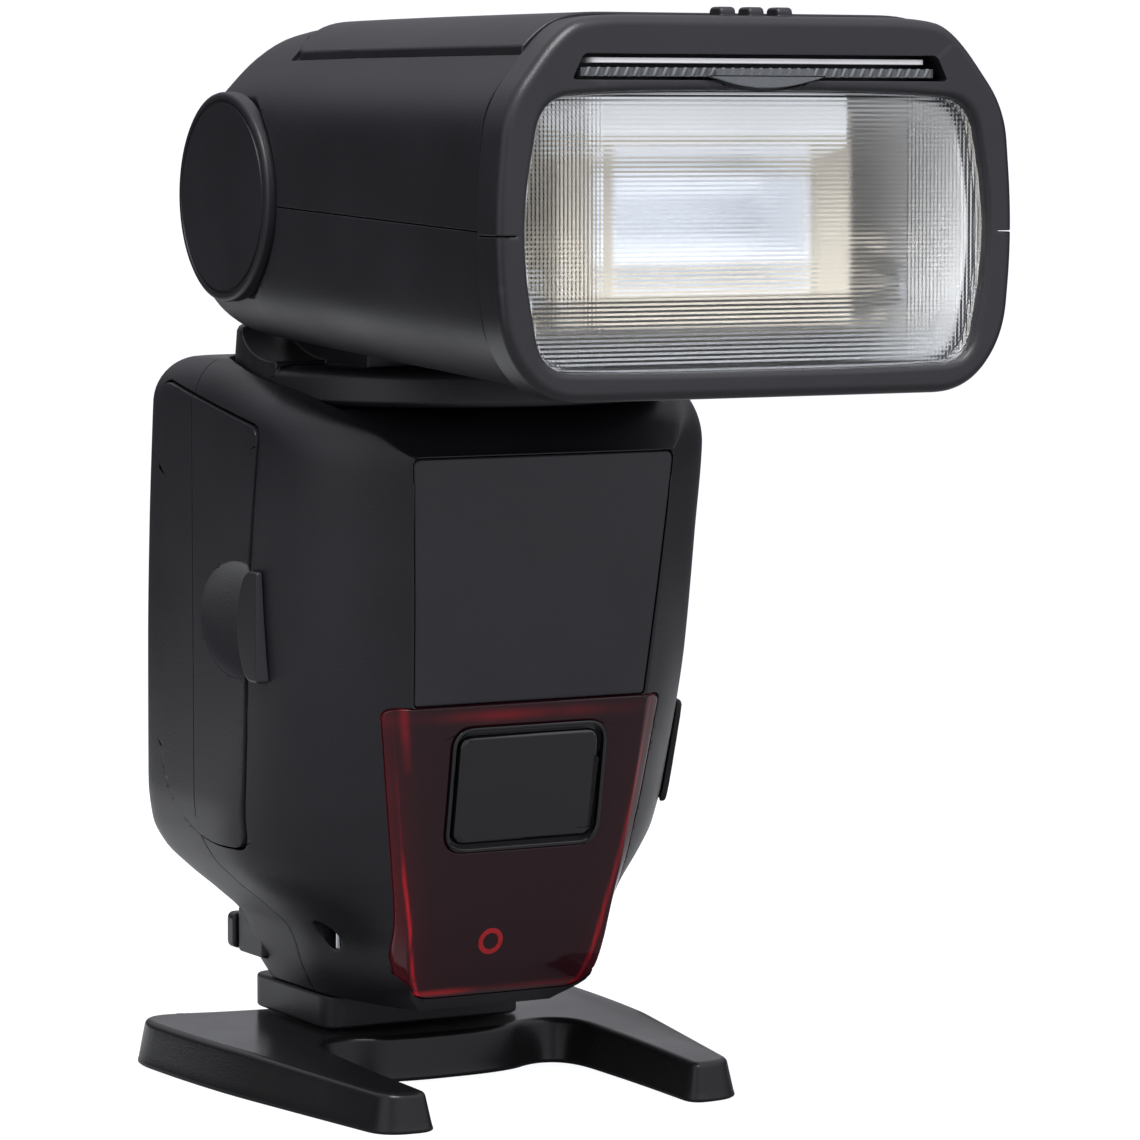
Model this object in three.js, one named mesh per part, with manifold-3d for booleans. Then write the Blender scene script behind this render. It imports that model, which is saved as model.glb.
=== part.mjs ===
// Speedlight flash on its mini stand, as separate pieces. Millimetres, +Z up.
// The origin is on the surface that the stand rests on, under the middle of the hot-shoe foot.
// The light leaves towards -Y, the display looks towards +Y and the terminals are on the +X side.
import * as THREE from 'three';
import { mergeVertices } from 'three/addons/utils/BufferGeometryUtils.js';
import { ConvexGeometry } from 'three/addons/geometries/ConvexGeometry.js';
import Module from 'manifold-3d';

// ---------------------------------------------------------------- driving dimensions

const GAP = 0.3; // clearance between pieces that touch
const WALL = 2; // moulded wall

// head
const TILT_Y = -25.8; // horizontal axis that the head tilts on
const TILT_Z = 132.2;
const HEAD_FRONT_Y = -104.6; // front rim of the head shells
const LENS_FACE_Y = -110.9; // front face of the bezel
const HALF_WIDTH = 39.85; // half the width over the bezel
const PIVOT_RADIUS = 15; // round cap over each end of the tilt axle
const PIVOT_FACE_X = 39.4;
const CHEEK_X = 23.3; // inner face of the cheeks that straddle the neck
const CHEEK_SLOT_RADIUS = 16.2;
const AXLE_RADIUS = 6;
const AXLE_BORE = 6.4;
const SEAM_Z = 131.6; // seam between the head's shells, at the tilt axis
const SEAM_SLOPE = 0.0386; // the seam falls towards the front

// lens, slot for the pull-out panels
const LENS_Z = 128.4;
const LENS_HALF_HEIGHT = 18.3;
const LENS_HALF_WIDTH = 36;
const SLOT_LOW_Z = 148.3;
const SLOT_HIGH_Z = 151.7;

// neck
const SWIVEL_Y = -20; // vertical axis that the head swivels on
const DRUM_RADIUS = 31.8;
const DRUM_LOW_Z = 102.3;
const DRUM_HIGH_Z = 107.8;
const BARREL_RADIUS = 15.6;
const HUB_RADIUS = 15;

// body
const BODY_TOP_Z = 108.2;
const BODY_BOTTOM_Z = 12.5;
const BODY_REAR_Y = 13.1;
const SHELL_SEAM_Y = -8.5;
const WINDOW_TOP_Z = 59.3; // the red window meets the front panel here
const PANEL_TOP_Z = 95.3;
const WINDOW_BOTTOM_Z = 16.6;
const CELL_RADIUS = 7.1; // AA cell
const CELL_LENGTH = 49.5;

// hot-shoe foot (18.6 mm wide, 2 mm thick) and stand
const SHOE_WIDTH = 18.6;
const SHOE_LOW_Z = 3.2;
const SHOE_THICKNESS = 2;
const STAND_TOP_Z = 6.8;
const LOCK_PIN_Y = -6.3;

// ---------------------------------------------------------------- solids

const wasm = await Module();
wasm.setup();

// A closed three.js geometry as a manifold-3d solid.
function solid(geometry) {
  const bare = geometry.index ? geometry.toNonIndexed() : geometry.clone();
  for (const name of Object.keys(bare.attributes)) {
    if (name !== 'position') bare.deleteAttribute(name);
  }
  const merged = mergeVertices(bare, 1e-4);
  const index = [];
  const all = merged.index.array;
  for (let i = 0; i < all.length; i += 3) {
    const [a, b, c] = [all[i], all[i + 1], all[i + 2]];
    if (a !== b && b !== c && c !== a) index.push(a, b, c);
  }
  return new wasm.Manifold(new wasm.Mesh({
    numProp: 3,
    vertProperties: merged.attributes.position.array,
    triVerts: new Uint32Array(index),
  }));
}

const join = (first, ...rest) => rest.reduce((sum, piece) => sum.add(piece), first);
const cut = (first, ...rest) => rest.reduce((sum, piece) => sum.subtract(piece), first);
const common = (first, ...rest) => rest.reduce((sum, piece) => sum.intersect(piece), first);

// A box between two corners.
function box(x0, x1, y0, y1, z0, z1) {
  const geometry = new THREE.BoxGeometry(x1 - x0, y1 - y0, z1 - z0);
  geometry.translate((x0 + x1) / 2, (y0 + y1) / 2, (z0 + z1) / 2);
  return solid(geometry);
}

// A cylinder, or a cone, along one axis: a and b are its two other coordinates in X, Y, Z order.
function cylinder(axis, from, to, a, b, radius, endRadius = radius, sides = 24) {
  const geometry = new THREE.CylinderGeometry(endRadius, radius, to - from, sides);
  geometry.translate(0, (from + to) / 2, 0);
  if (axis === 'x') {
    geometry.rotateZ(-Math.PI / 2);
    geometry.translate(0, a, b);
  } else if (axis === 'y') {
    geometry.translate(a, 0, b);
  } else {
    geometry.rotateX(Math.PI / 2);
    geometry.translate(a, b, 0);
  }
  return solid(geometry);
}

// An outline with rounded corners: each corner is [u, v, radius].
function outline(corners) {
  const shape = new THREE.Shape();
  const count = corners.length;
  corners.forEach(([u, v, radius = 0], i) => {
    const here = new THREE.Vector2(u, v);
    const before = new THREE.Vector2(...corners[(i + count - 1) % count].slice(0, 2)).sub(here);
    const after = new THREE.Vector2(...corners[(i + 1) % count].slice(0, 2)).sub(here);
    const start = here.clone().add(before.setLength(Math.min(radius, before.length() / 2)));
    const end = here.clone().add(after.setLength(Math.min(radius, after.length() / 2)));
    if (i === 0) shape.moveTo(start.x, start.y);
    else shape.lineTo(start.x, start.y);
    if (radius > 0) shape.quadraticCurveTo(u, v, end.x, end.y);
  });
  shape.closePath();
  return shape;
}

// A half outline from the middle line, mirrored in u.
function mirrored(half) {
  const other = half.map(([u, v, radius = 0]) => [-u, v, radius]).reverse();
  return [...half, ...other];
}

// A rectangle about (u, v) with rounded corners.
function rectangle(u, v, width, height, radius) {
  const [a, b] = [width / 2, height / 2];
  return outline([[u - a, v - b, radius], [u + a, v - b, radius],
    [u + a, v + b, radius], [u - a, v + b, radius]]);
}

// A prism of a flat shape along an axis. The shape is in (y, z) along x, (x, z) along y, (x, y) along z.
function prism(axis, shape, from, to, { bevel = 0, segments = 6 } = {}) {
  const geometry = new THREE.ExtrudeGeometry(shape, {
    depth: to - from - 2 * bevel,
    bevelEnabled: bevel > 0,
    bevelThickness: bevel,
    bevelSize: bevel,
    bevelOffset: -bevel,
    bevelSegments: 2,
    curveSegments: segments,
  });
  geometry.translate(0, 0, bevel);
  if (axis === 'x') {
    const turn = new THREE.Matrix4().makeBasis(
      new THREE.Vector3(0, 1, 0), new THREE.Vector3(0, 0, 1), new THREE.Vector3(1, 0, 0));
    geometry.applyMatrix4(turn);
    geometry.translate(from, 0, 0);
  } else if (axis === 'y') {
    geometry.rotateX(Math.PI / 2);
    geometry.translate(0, to, 0);
  } else {
    geometry.translate(0, 0, from);
  }
  return solid(geometry);
}

// ---------------------------------------------------------------- materials

const colours = {
  shell: [0x222226, 0.5, 0],
  panel: [0x2c2d31, 0.35, 0],
  gloss: [0x0c0c0e, 0.12, 0],
  window: [0x5a1216, 0.1, 0],
  rubber: [0x1b1b1d, 0.85, 0],
  clear: [0xdfe3e4, 0.08, 0],
  white: [0xf4f4f2, 0.45, 0],
  cream: [0xe9dfc8, 0.5, 0],
  steel: [0xb8bbbf, 0.3, 1],
  brass: [0xc09a4a, 0.35, 1],
  board: [0x1f4a33, 0.6, 0],
  label: [0x6a7077, 0.5, 0.2],
  glass: [0xeef2f4, 0.05, 0],
};
const materials = {};
for (const [name, [color, roughness, metalness]] of Object.entries(colours)) {
  materials[name] = new THREE.MeshStandardMaterial({ name, color, roughness, metalness });
}

const flash = new THREE.Group();
flash.name = 'speedlight_flash';

// Adds a solid to the flash as a named mesh.
function add(name, piece, material) {
  const { vertProperties, triVerts } = piece.getMesh();
  const geometry = new THREE.BufferGeometry();
  geometry.setAttribute('position', new THREE.BufferAttribute(vertProperties, 3));
  geometry.setIndex(new THREE.BufferAttribute(triVerts, 1));
  const mesh = new THREE.Mesh(geometry, materials[material]);
  mesh.name = name;
  flash.add(mesh);
}

// ---------------------------------------------------------------- body form

// Levels of the body: height, half width, where the side turns towards the front panel, how far in
// that turn is drawn, half width and place of the front panel, rear face.
const UPPER_LEVELS = [
  { z: 22.5, side: 21, turnY: -13, pull: 2.2, panel: 16.4, panelY: -38.8, rearY: 12.4 },
  { z: 30, side: 29.4, turnY: -15, pull: 3.6, panel: 17.1, panelY: -40.6, rearY: 12.8 },
  { z: 34, side: 33.4, turnY: -16, pull: 4, panel: 17.6, panelY: -41.5, rearY: BODY_REAR_Y },
  { z: 38, side: 35.3, turnY: -16.8, pull: 3.8, panel: 17.9, panelY: -42.3, rearY: BODY_REAR_Y },
  { z: 44, side: 36, turnY: -18.5, pull: 3.4, panel: 18.4, panelY: -43.5, rearY: BODY_REAR_Y },
  { z: 65, side: 36, turnY: -25.5, pull: 2.4, panel: 19.8, panelY: -46.9, rearY: 12.9 },
  { z: 82, side: 36, turnY: -28.5, pull: 2.4, panel: 20.7, panelY: -49.2, rearY: 12.1 },
  { z: 97, side: 36, turnY: -31, pull: 2.4, panel: 21.3, panelY: -50.7, rearY: 10.8 },
  { z: 104, side: 35.3, turnY: -31, pull: 2.4, panel: 21.2, panelY: -51, rearY: 8.4 },
  { z: 107, side: 33.6, turnY: -31, pull: 2.4, panel: 20.8, panelY: -50, rearY: 6.2 },
  { z: BODY_TOP_Z, side: 31, turnY: -30, pull: 2.5, panel: 20, panelY: -49, rearY: 3.6 },
];
const LOWER_LEVELS = [
  { z: BODY_BOTTOM_Z, side: 16.6, turnY: -12, pull: 2, panel: 11, panelY: -31.5, rearY: 11 },
  { z: 16.5, side: 18.6, turnY: -13, pull: 2.2, panel: 15, panelY: -36.8, rearY: 12.2 },
  { z: 22.5, side: 20.6, turnY: -13, pull: 2.2, panel: 16.4, panelY: -38.8, rearY: 12.4 },
  { z: 26, side: 21.4, turnY: -13.5, pull: 2.4, panel: 16.7, panelY: -39.6, rearY: 12.4 },
];
const REAR_CORNER = 5;

// One level's outline as points, inset all round.
function bodyLevel(level, inset, segments) {
  const side = level.side - inset;
  const rearY = level.rearY - inset;
  const panel = level.panel - inset * 0.5;
  const panelY = level.panelY + inset;
  const flank = new THREE.QuadraticBezierCurve(
    new THREE.Vector2(panel, panelY),
    new THREE.Vector2(side - level.pull, level.turnY + 0.6 * (panelY - level.turnY)),
    new THREE.Vector2(side, level.turnY));
  const rear = new THREE.QuadraticBezierCurve(
    new THREE.Vector2(side, rearY - REAR_CORNER),
    new THREE.Vector2(side, rearY),
    new THREE.Vector2(side - REAR_CORNER, rearY));
  const half = [...flank.getPoints(segments), ...rear.getPoints(3)];
  return half.flatMap(({ x, y }) => [[x, y], [-x, y]]);
}

// A convex form through the levels, inset by a wall; its ends are inset as well.
function levelsForm(levels, inset, segments) {
  const low = levels[0].z;
  const high = levels.at(-1).z;
  const points = levels.flatMap((level) => {
    const share = (level.z - low) / (high - low);
    const z = low + inset + share * (high - low - 2 * inset);
    return bodyLevel(level, inset, segments).map(([x, y]) => new THREE.Vector3(x, y, z));
  });
  return solid(new ConvexGeometry(points));
}

// The body's outer form, or the same form inset by a wall.
function bodyForm(inset, segments = 5) {
  const stretched = LOWER_LEVELS.map((level, i) => (
    i === LOWER_LEVELS.length - 1 ? { ...level, z: level.z + 2 * inset } : level));
  const form = join(levelsForm(UPPER_LEVELS, inset, segments), levelsForm(stretched, inset, segments));
  const drop = inset * 1.05;
  const slope = outline([[-9, BODY_TOP_Z - drop], [-30, 104.6 - drop], [-39.5, 101.6 - drop],
    [-46.5, 99 - drop], [-50.4, PANEL_TOP_Z + 0.4 - drop], [-56, 94 - drop], [-56, 130], [-9, 130]]);
  return cut(form, prism('x', slope, -45, 45));
}

const bodyOuter = bodyForm(0);
const bodyInner = bodyForm(WALL, 4);
const bodySkin = cut(bodyOuter, bodyInner);

// ---------------------------------------------------------------- body shells

const TURNING_GAP = 0.4; // round the neck, where it turns in the body
const POCKET_FLOOR_Z = DRUM_LOW_Z - TURNING_GAP;
const POCKET_FLOOR = 2.5; // its thickness
const ABOVE_BODY_Z = 115;
const upright = (low, high, radius, sides) => cylinder('z', low, high, 0, SWIVEL_Y, radius, radius, sides);
const drumPocket = upright(POCKET_FLOOR_Z, ABOVE_BODY_Z, DRUM_RADIUS + TURNING_GAP, 40);
const pocketLowZ = POCKET_FLOOR_Z - POCKET_FLOOR;
const pocketFloor = common(upright(pocketLowZ, POCKET_FLOOR_Z, DRUM_RADIUS + 2.4, 40), bodyOuter);
const pocketWall = common(upright(pocketLowZ, ABOVE_BODY_Z, DRUM_RADIUS + 2.2, 40), bodyOuter);
const hubHole = upright(90, ABOVE_BODY_Z, HUB_RADIUS + TURNING_GAP, 24);

// front panel and red window: their outlines seen from the front
const panelHalfAt = (z) => 16.4 + (z - 22.5) * (21.3 - 16.4) / (97 - 22.5);
const panelOutline = (grow) => outline(mirrored([
  [panelHalfAt(WINDOW_TOP_Z) + grow, WINDOW_TOP_Z + GAP / 2 - grow],
  [panelHalfAt(PANEL_TOP_Z) + grow, PANEL_TOP_Z + grow],
]));
const windowOutline = (grow) => outline(mirrored([
  [panelHalfAt(WINDOW_BOTTOM_Z) + 1.2 + grow, WINDOW_BOTTOM_Z - grow, 6],
  [panelHalfAt(WINDOW_TOP_Z) + 3.6 + grow, WINDOW_TOP_Z - GAP / 2 + grow, 1],
]));
const FRONT_Y = -30; // front pieces lie in front of this plane
const frontPrism = (shape) => prism('y', shape, -60, FRONT_Y);

// battery door: its outline seen from the side, in (y, z)
const doorOutline = (grow) => outline([
  [-30.4 - grow, 99 + grow, 2.5],
  [-26.6 - grow, 78, 20],
  [-25.2 - grow, 59, 20],
  [-22.4 - grow, 44, 8],
  [-20.8 - grow, 36.8 - grow, 2.5],
  [-10, 36.8 - grow, 6],
  [-2, 40.5 - grow, 5],
  [3.6 + grow, 47, 4],
  [3.6 + grow, 104.9 + grow, 4],
]);
const doorPrism = (grow) => prism('x', doorOutline(grow), -42, -27);

// terminal cover: outline seen from the side, in (y, z)
const COVER = { y: -21, z: 48.2, width: 19, height: 15.2, corner: 2 };
const coverOutline = rectangle(COVER.y, COVER.z, COVER.width, COVER.height, COVER.corner);
const PC_SOCKET = { y: -16.5, z: 48.2, radius: 3.6 };
const SYNC_JACK = { y: -26.5, z: 48.2, radius: 2.4 };

// rear face: display and controls
const LCD = { z: 83, width: 50, height: 32 };
const FUNCTION_X = [-16.8, -5.6, 5.6, 16.8];
const FUNCTION_Z = 61.6;
const keyOutline = (x, grow) => rectangle(x, FUNCTION_Z, 8.2 + 2 * grow, 4.4 + 2 * grow, 1.4 + grow);
const BUTTON_FACE_Y = BODY_REAR_Y + 0.9;
const ROUND_BUTTONS = {
  mode_button: { x: -20.5, z: 51.5, radius: 3.2 },
  wireless_button: { x: 20.5, z: 51.5, radius: 3.2 },
  test_button: { x: -19.5, z: 37.5, radius: 3.4 },
};
const DIAL = { x: 0, z: 43.5, radius: 11, hub: 4.4 };
const SWITCH = { x: 0, z: 27.4, radius: 4.6 };

const rearOpenings = [
  prism('y', rectangle(0, LCD.z, LCD.width + 2 * GAP, LCD.height + 2 * GAP, 2.5), 5, 20, { segments: 3 }),
  ...FUNCTION_X.map((x) => prism('y', keyOutline(x, GAP), 5, 20, { segments: 2 })),
  ...Object.values(ROUND_BUTTONS).map(({ x, z, radius }) => cylinder(
    'y', 5, 20, x, z, radius + GAP, radius + GAP, 18)),
  cylinder('y', 5, 20, DIAL.x, DIAL.z, DIAL.radius + 0.4, DIAL.radius + 0.4, 28),
  cylinder('y', 5, 20, SWITCH.x, SWITCH.z, 2.2, 2.2, 24),
];

// lever that frees the foot: its slot in the rear face
const LEVER = { x0: -19.8, x1: 1, y0: BODY_REAR_Y + 0.4, y1: BODY_REAR_Y + 2.9, z0: 16, z1: 21.6 };
const leverSlot = box(-14, 3, 5, 20, 17.6, 19.6);

// the body's case in one piece, which the seam divides into front and rear shells
const bodyCase = cut(
  join(cut(bodySkin, drumPocket), cut(join(pocketFloor, pocketWall), drumPocket)),
  hubHole,
  frontPrism(panelOutline(GAP)),
  frontPrism(windowOutline(GAP)),
  doorPrism(GAP),
  cylinder('x', 26, 40, PC_SOCKET.y, PC_SOCKET.z, PC_SOCKET.radius + GAP, PC_SOCKET.radius + GAP, 20),
  cylinder('x', 26, 40, SYNC_JACK.y, SYNC_JACK.z, SYNC_JACK.radius + GAP, SYNC_JACK.radius + GAP, 16),
  ...rearOpenings,
  leverSlot,
);
const bodyBig = (y0, y1) => box(-60, 60, y0, y1, 0, 130);
const largest = (piece) => piece.decompose().sort((a, b) => b.volume() - a.volume())[0];
add('front_shell', largest(common(bodyCase, bodyBig(-70, SHELL_SEAM_Y - GAP / 2))), 'shell');
add('rear_shell', largest(common(bodyCase, bodyBig(SHELL_SEAM_Y + GAP / 2, 40))), 'shell');

// ---------------------------------------------------------------- front panel, window, sensors

const ASSIST = { x: 0.4, z: 46.6, width: 25.4, height: 18.6 };
const assistOutline = (grow) => rectangle(
  ASSIST.x, ASSIST.z, ASSIST.width + 2 * grow, ASSIST.height + 2 * grow, 3.2);
const assistForm = bodyForm(-0.5);
const assistBack = bodyForm(WALL + 0.9);

add('front_panel', common(bodySkin, frontPrism(panelOutline(0))), 'panel');
add('red_window', cut(
  common(bodySkin, frontPrism(windowOutline(0))),
  frontPrism(assistOutline(GAP))), 'window');
add('assist_lens', common(cut(assistForm, assistBack), frontPrism(assistOutline(0))), 'gloss');
add('wireless_sensor', cylinder('y', -34.6, -30.5, -2, 23.4, 3, 3, 18), 'gloss');
const baffleOutline = outline(mirrored([[15, 20.5, 3], [19, 58.5, 2]]));
add('light_baffle', common(cut(bodyForm(6.4), bodyForm(7.8)), frontPrism(baffleOutline),
  box(-30, 30, -60, -28, 27.5, 58)), 'shell');

// ---------------------------------------------------------------- battery door and latch

const LATCH = { y0: -30.6, y1: -23.6, z0: 62.2, z1: 78.4 };
const thumbScoop = new THREE.SphereGeometry(1, 20, 12);
thumbScoop.scale(1.6, 14.4, 9);
thumbScoop.translate(-36.6, -25, 70.8);
const doorSkin = cut(bodyOuter, bodyForm(WALL + 0.6));
const doorLip = bodyForm(1.1); // the door's inner layer is smaller all round, so that it swings clear
const doorPanel = join(common(doorSkin, doorPrism(-0.9)), cut(common(doorSkin, doorPrism(0)), doorLip));
const doorCrease = box(-40, -35.7, -8.6, -8, 39, 104);
add('battery_door', largest(cut(doorPanel, solid(thumbScoop), doorCrease)), 'shell');

const latchOutline = outline([
  [LATCH.y0, LATCH.z0, 0.8], [LATCH.y0, LATCH.z1, 0.8],
  [LATCH.y1 - 2.5, LATCH.z1, 2], [LATCH.y1, (LATCH.z0 + LATCH.z1) / 2, 8], [LATCH.y1 - 2.5, LATCH.z0, 2],
].reverse());
const latchClear = bodyForm(-GAP);
add('door_latch', cut(prism('x', latchOutline, -36.5, -33, { bevel: 0.4 }), latchClear), 'shell');

// ---------------------------------------------------------------- batteries and electronics

const CELL_Z = 44.1;
const CELL_X = [-25.3, -10.7];
const CELL_Y = [-17.4, -2.8];
let cellNumber = 0;
for (const x of CELL_X) {
  for (const y of CELL_Y) {
    cellNumber += 1;
    const can = cylinder('z', CELL_Z, CELL_Z + CELL_LENGTH - 1.2, x, y, CELL_RADIUS, CELL_RADIUS, 20);
    const tip = cylinder('z', CELL_Z + CELL_LENGTH - 1.3, CELL_Z + CELL_LENGTH, x, y, 2.7, 2.7, 16);
    add(`battery_cell_${cellNumber}`, join(can, tip), 'label');
  }
}
const TRAY = { x0: -33, x1: -2.3, y0: -25.8, y1: 5.4, z0: 40.6, z1: 95.3 };
const trayInside = box(-40, TRAY.x1 - 1, TRAY.y0 + 1, TRAY.y1 - 0.8, TRAY.z0 + 1.2, TRAY.z1 - 1.2);
const traySolid = cut(box(TRAY.x0, TRAY.x1, TRAY.y0, TRAY.y1, TRAY.z0, TRAY.z1), trayInside);
add('battery_tray', largest(common(traySolid, bodyForm(WALL + 1.2))), 'shell');
const contactPlate = (z0, z1) => box(CELL_X[0] - 5, CELL_X[1] + 5, CELL_Y[0] - 5, CELL_Y[1] + 5, z0, z1);
add('battery_contact_low', contactPlate(TRAY.z0 + 1.5, TRAY.z0 + 2.4), 'steel');
add('battery_contact_high', cut(contactPlate(93.4, 93.9), ...CELL_X.flatMap((x) => CELL_Y.map(
  (y) => cylinder('z', 90, 96, x, y, 3.2, 3.2, 16)))), 'steel');

add('main_capacitor', cylinder('z', 42, 92, 14.4, -14.5, 11.8, 11.8, 24), 'gloss');
add('main_board', cut(
  box(-30, 30, 5.8, 7, 40, 96),
  cylinder('y', 0, 20, DIAL.x, DIAL.z, 3, 3, 16)), 'board');
add('transformer', box(-8, 8, -44, -31, 72, 86), 'cream');
add('pc_socket', cut(
  cylinder('x', 27, 34.6, PC_SOCKET.y, PC_SOCKET.z, PC_SOCKET.radius, PC_SOCKET.radius, 20),
  cylinder('x', 30, 40, PC_SOCKET.y, PC_SOCKET.z, 2.4, 2.4, 20)), 'steel');
add('sync_jack', cut(
  cylinder('x', 26, 32.6, SYNC_JACK.y, SYNC_JACK.z, SYNC_JACK.radius, SYNC_JACK.radius, 20),
  cylinder('x', 29, 40, SYNC_JACK.y, SYNC_JACK.z, 1.3, 1.3, 16)), 'steel');
const coverSkin = cut(bodyForm(-1.2), bodyForm(-GAP));
add('terminal_cover', common(coverSkin, prism('x', coverOutline, 25, 45)), 'rubber');

// ---------------------------------------------------------------- display and controls

add('lcd_window', prism('y', rectangle(0, LCD.z, LCD.width, LCD.height, 2.2), BODY_REAR_Y - 1.5,
  BODY_REAR_Y + 0.4), 'gloss');
const moduleOutline = rectangle(0, LCD.z, LCD.width - 4, LCD.height - 4, 1);
add('lcd_module', prism('y', moduleOutline, 7.3, BODY_REAR_Y - 1.8), 'label');
FUNCTION_X.forEach((x, i) => {
  const cap = prism('y', keyOutline(x, 0), 8.5, BUTTON_FACE_Y, { bevel: 0.3, segments: 2 });
  add(`function_button_${i + 1}`, cap, 'rubber');
});
for (const [name, { x, z, radius }] of Object.entries(ROUND_BUTTONS)) {
  const stem = cylinder('y', 8.5, BUTTON_FACE_Y - 0.4, x, z, radius, radius, 18);
  const crown = cylinder('y', BUTTON_FACE_Y - 0.4, BUTTON_FACE_Y, x, z, radius, radius - 0.4, 18);
  add(name, join(stem, crown), 'rubber');
}
const DIAL_BACK_Y = 9;
const DIAL_FACE_Y = BODY_REAR_Y + 1.6;
const DIAL_TEETH = 16;
const dialTeeth = [];
for (let i = 0; i < DIAL_TEETH; i += 1) {
  const angle = (i / DIAL_TEETH) * 2 * Math.PI;
  const [x, z] = [DIAL.x + DIAL.radius * Math.cos(angle), DIAL.z + DIAL.radius * Math.sin(angle)];
  dialTeeth.push(cylinder('y', BODY_REAR_Y + 0.2, 20, x, z, 0.6, 0.6, 5));
}
add('select_dial', cut(
  join(cylinder('y', DIAL_BACK_Y, DIAL_FACE_Y - 0.5, DIAL.x, DIAL.z, DIAL.radius, DIAL.radius, 32),
    cylinder('y', DIAL_FACE_Y - 0.5, DIAL_FACE_Y, DIAL.x, DIAL.z, DIAL.radius, DIAL.radius - 0.5, 32)),
  cylinder('y', 5, 20, DIAL.x, DIAL.z, DIAL.hub + GAP, DIAL.hub + GAP, 20),
  ...dialTeeth), 'gloss');
add('set_button', join(
  cylinder('y', 8.8, DIAL_FACE_Y, DIAL.x, DIAL.z, DIAL.hub, DIAL.hub, 20),
  cylinder('y', DIAL_FACE_Y, DIAL_FACE_Y + 0.4, DIAL.x, DIAL.z, DIAL.hub, DIAL.hub - 0.4, 20)), 'rubber');
const switchDisc = (from, to, radius, endRadius, sides) => cylinder(
  'y', from, to, SWITCH.x, SWITCH.z, radius, endRadius, sides);
const switchTab = rectangle(SWITCH.x - 3.6, SWITCH.z, 7, 2.4, 1);
add('power_switch', join(
  switchDisc(8.8, BODY_REAR_Y + 0.5, 1.9, 1.9, 20),
  switchDisc(BODY_REAR_Y + 0.4, BODY_REAR_Y + 1.6, SWITCH.radius, SWITCH.radius - 0.3, 28),
  prism('y', switchTab, BODY_REAR_Y + 0.5, BODY_REAR_Y + 2.6)), 'gloss');

// ---------------------------------------------------------------- foot, lock and stand

const foot = { x: 16.6, y0: -13, y1: 14.2, z0: STAND_TOP_Z + GAP, z1: BODY_BOTTOM_Z - GAP };
add('foot_block', cut(
  prism('z', rectangle(0, (foot.y0 + foot.y1) / 2, 2 * foot.x, foot.y1 - foot.y0, 3.5), foot.z0, foot.z1,
    { bevel: 0.5, segments: 4 }),
  cylinder('z', 0, foot.z1 - 0.4, 0, LOCK_PIN_Y, 1.5, 1.5, 16)), 'shell');
const shoeTopZ = SHOE_LOW_Z + SHOE_THICKNESS;
const CONTACTS = [[0, 0, 1.2], [-3.6, 4.6, 0.8], [-1.2, 6, 0.8], [1.6, 6, 0.8], [4.2, 3.6, 0.8]];
const contactHoles = CONTACTS.map(([x, y, r]) => cylinder('z', 0, 6, x, y, r + GAP, r + GAP, 12));
add('shoe_foot', cut(
  join(prism('z', rectangle(0, 0, SHOE_WIDTH, SHOE_WIDTH, 1), SHOE_LOW_Z, shoeTopZ),
    box(-6.1, 6.1, -8.6, 8.6, shoeTopZ - 0.1, STAND_TOP_Z)),
  cylinder('z', 0, 10, 0, LOCK_PIN_Y, 1.5, 1.5, 16),
  box(-5.4, 5.4, -1.8, 7.4, 5.6, 10),
  ...contactHoles), 'steel');
add('shoe_contacts', join(
  box(-5, 5, -1.5, 7.1, 5.9, 6.8),
  ...CONTACTS.map(([x, y, r]) => cylinder('z', SHOE_LOW_Z - 0.25, 6, x, y, r, r, 12))), 'brass');
add('lock_pin', cylinder('z', 1.6, 9.8, 0, LOCK_PIN_Y, 1.15, 1.15, 16), 'steel');
const leverRidge = (x) => box(x, x + 1.2, LEVER.y1 - 0.2, LEVER.y1 + 0.5, LEVER.z0 + 0.8, LEVER.z1 - 0.8);
add('lock_lever', join(
  prism('y', rectangle((LEVER.x0 + LEVER.x1) / 2, (LEVER.z0 + LEVER.z1) / 2, LEVER.x1 - LEVER.x0,
    LEVER.z1 - LEVER.z0, 1), LEVER.y0, LEVER.y1),
  box(-13.5, -6.5, 7.5, LEVER.y0 + 0.2, 17.9, 19.3),
  ...[-17, -14.6, -12.2, -9.8].map(leverRidge)), 'gloss');

// stand: one outline, half of it from the arch to the rear edge; its walls lean in towards the top
const STAND_DRAFT = 1.8;
const standHalf = [
  [9.5, -21.9, 8], [16.6, -17.4, 6], [21, -20.5, 6], [21.2, -40, 8], [20.6, -57.4, 3.5],
  [29.6, -56.8, 4.5], [33, -36, 20], [36.8, -12, 20], [38, 18, 12], [17, 11.6, 12],
];
const standOutline = new THREE.Shape(outline(mirrored(standHalf)).getPoints(4));
const standBlank = new THREE.ExtrudeGeometry(standOutline, {
  depth: 0.4,
  bevelThickness: STAND_TOP_Z - 0.4,
  bevelSize: STAND_DRAFT,
  bevelOffset: -STAND_DRAFT,
  bevelSegments: 3,
});
const standSlope = outline([[-20, STAND_TOP_Z + 0.02], [-60, STAND_TOP_Z - 1.2], [-60, 20], [-20, 20]]);
const INSERT = { y: -15.4, radius: 4.2, bore: 2.7 };
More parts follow.
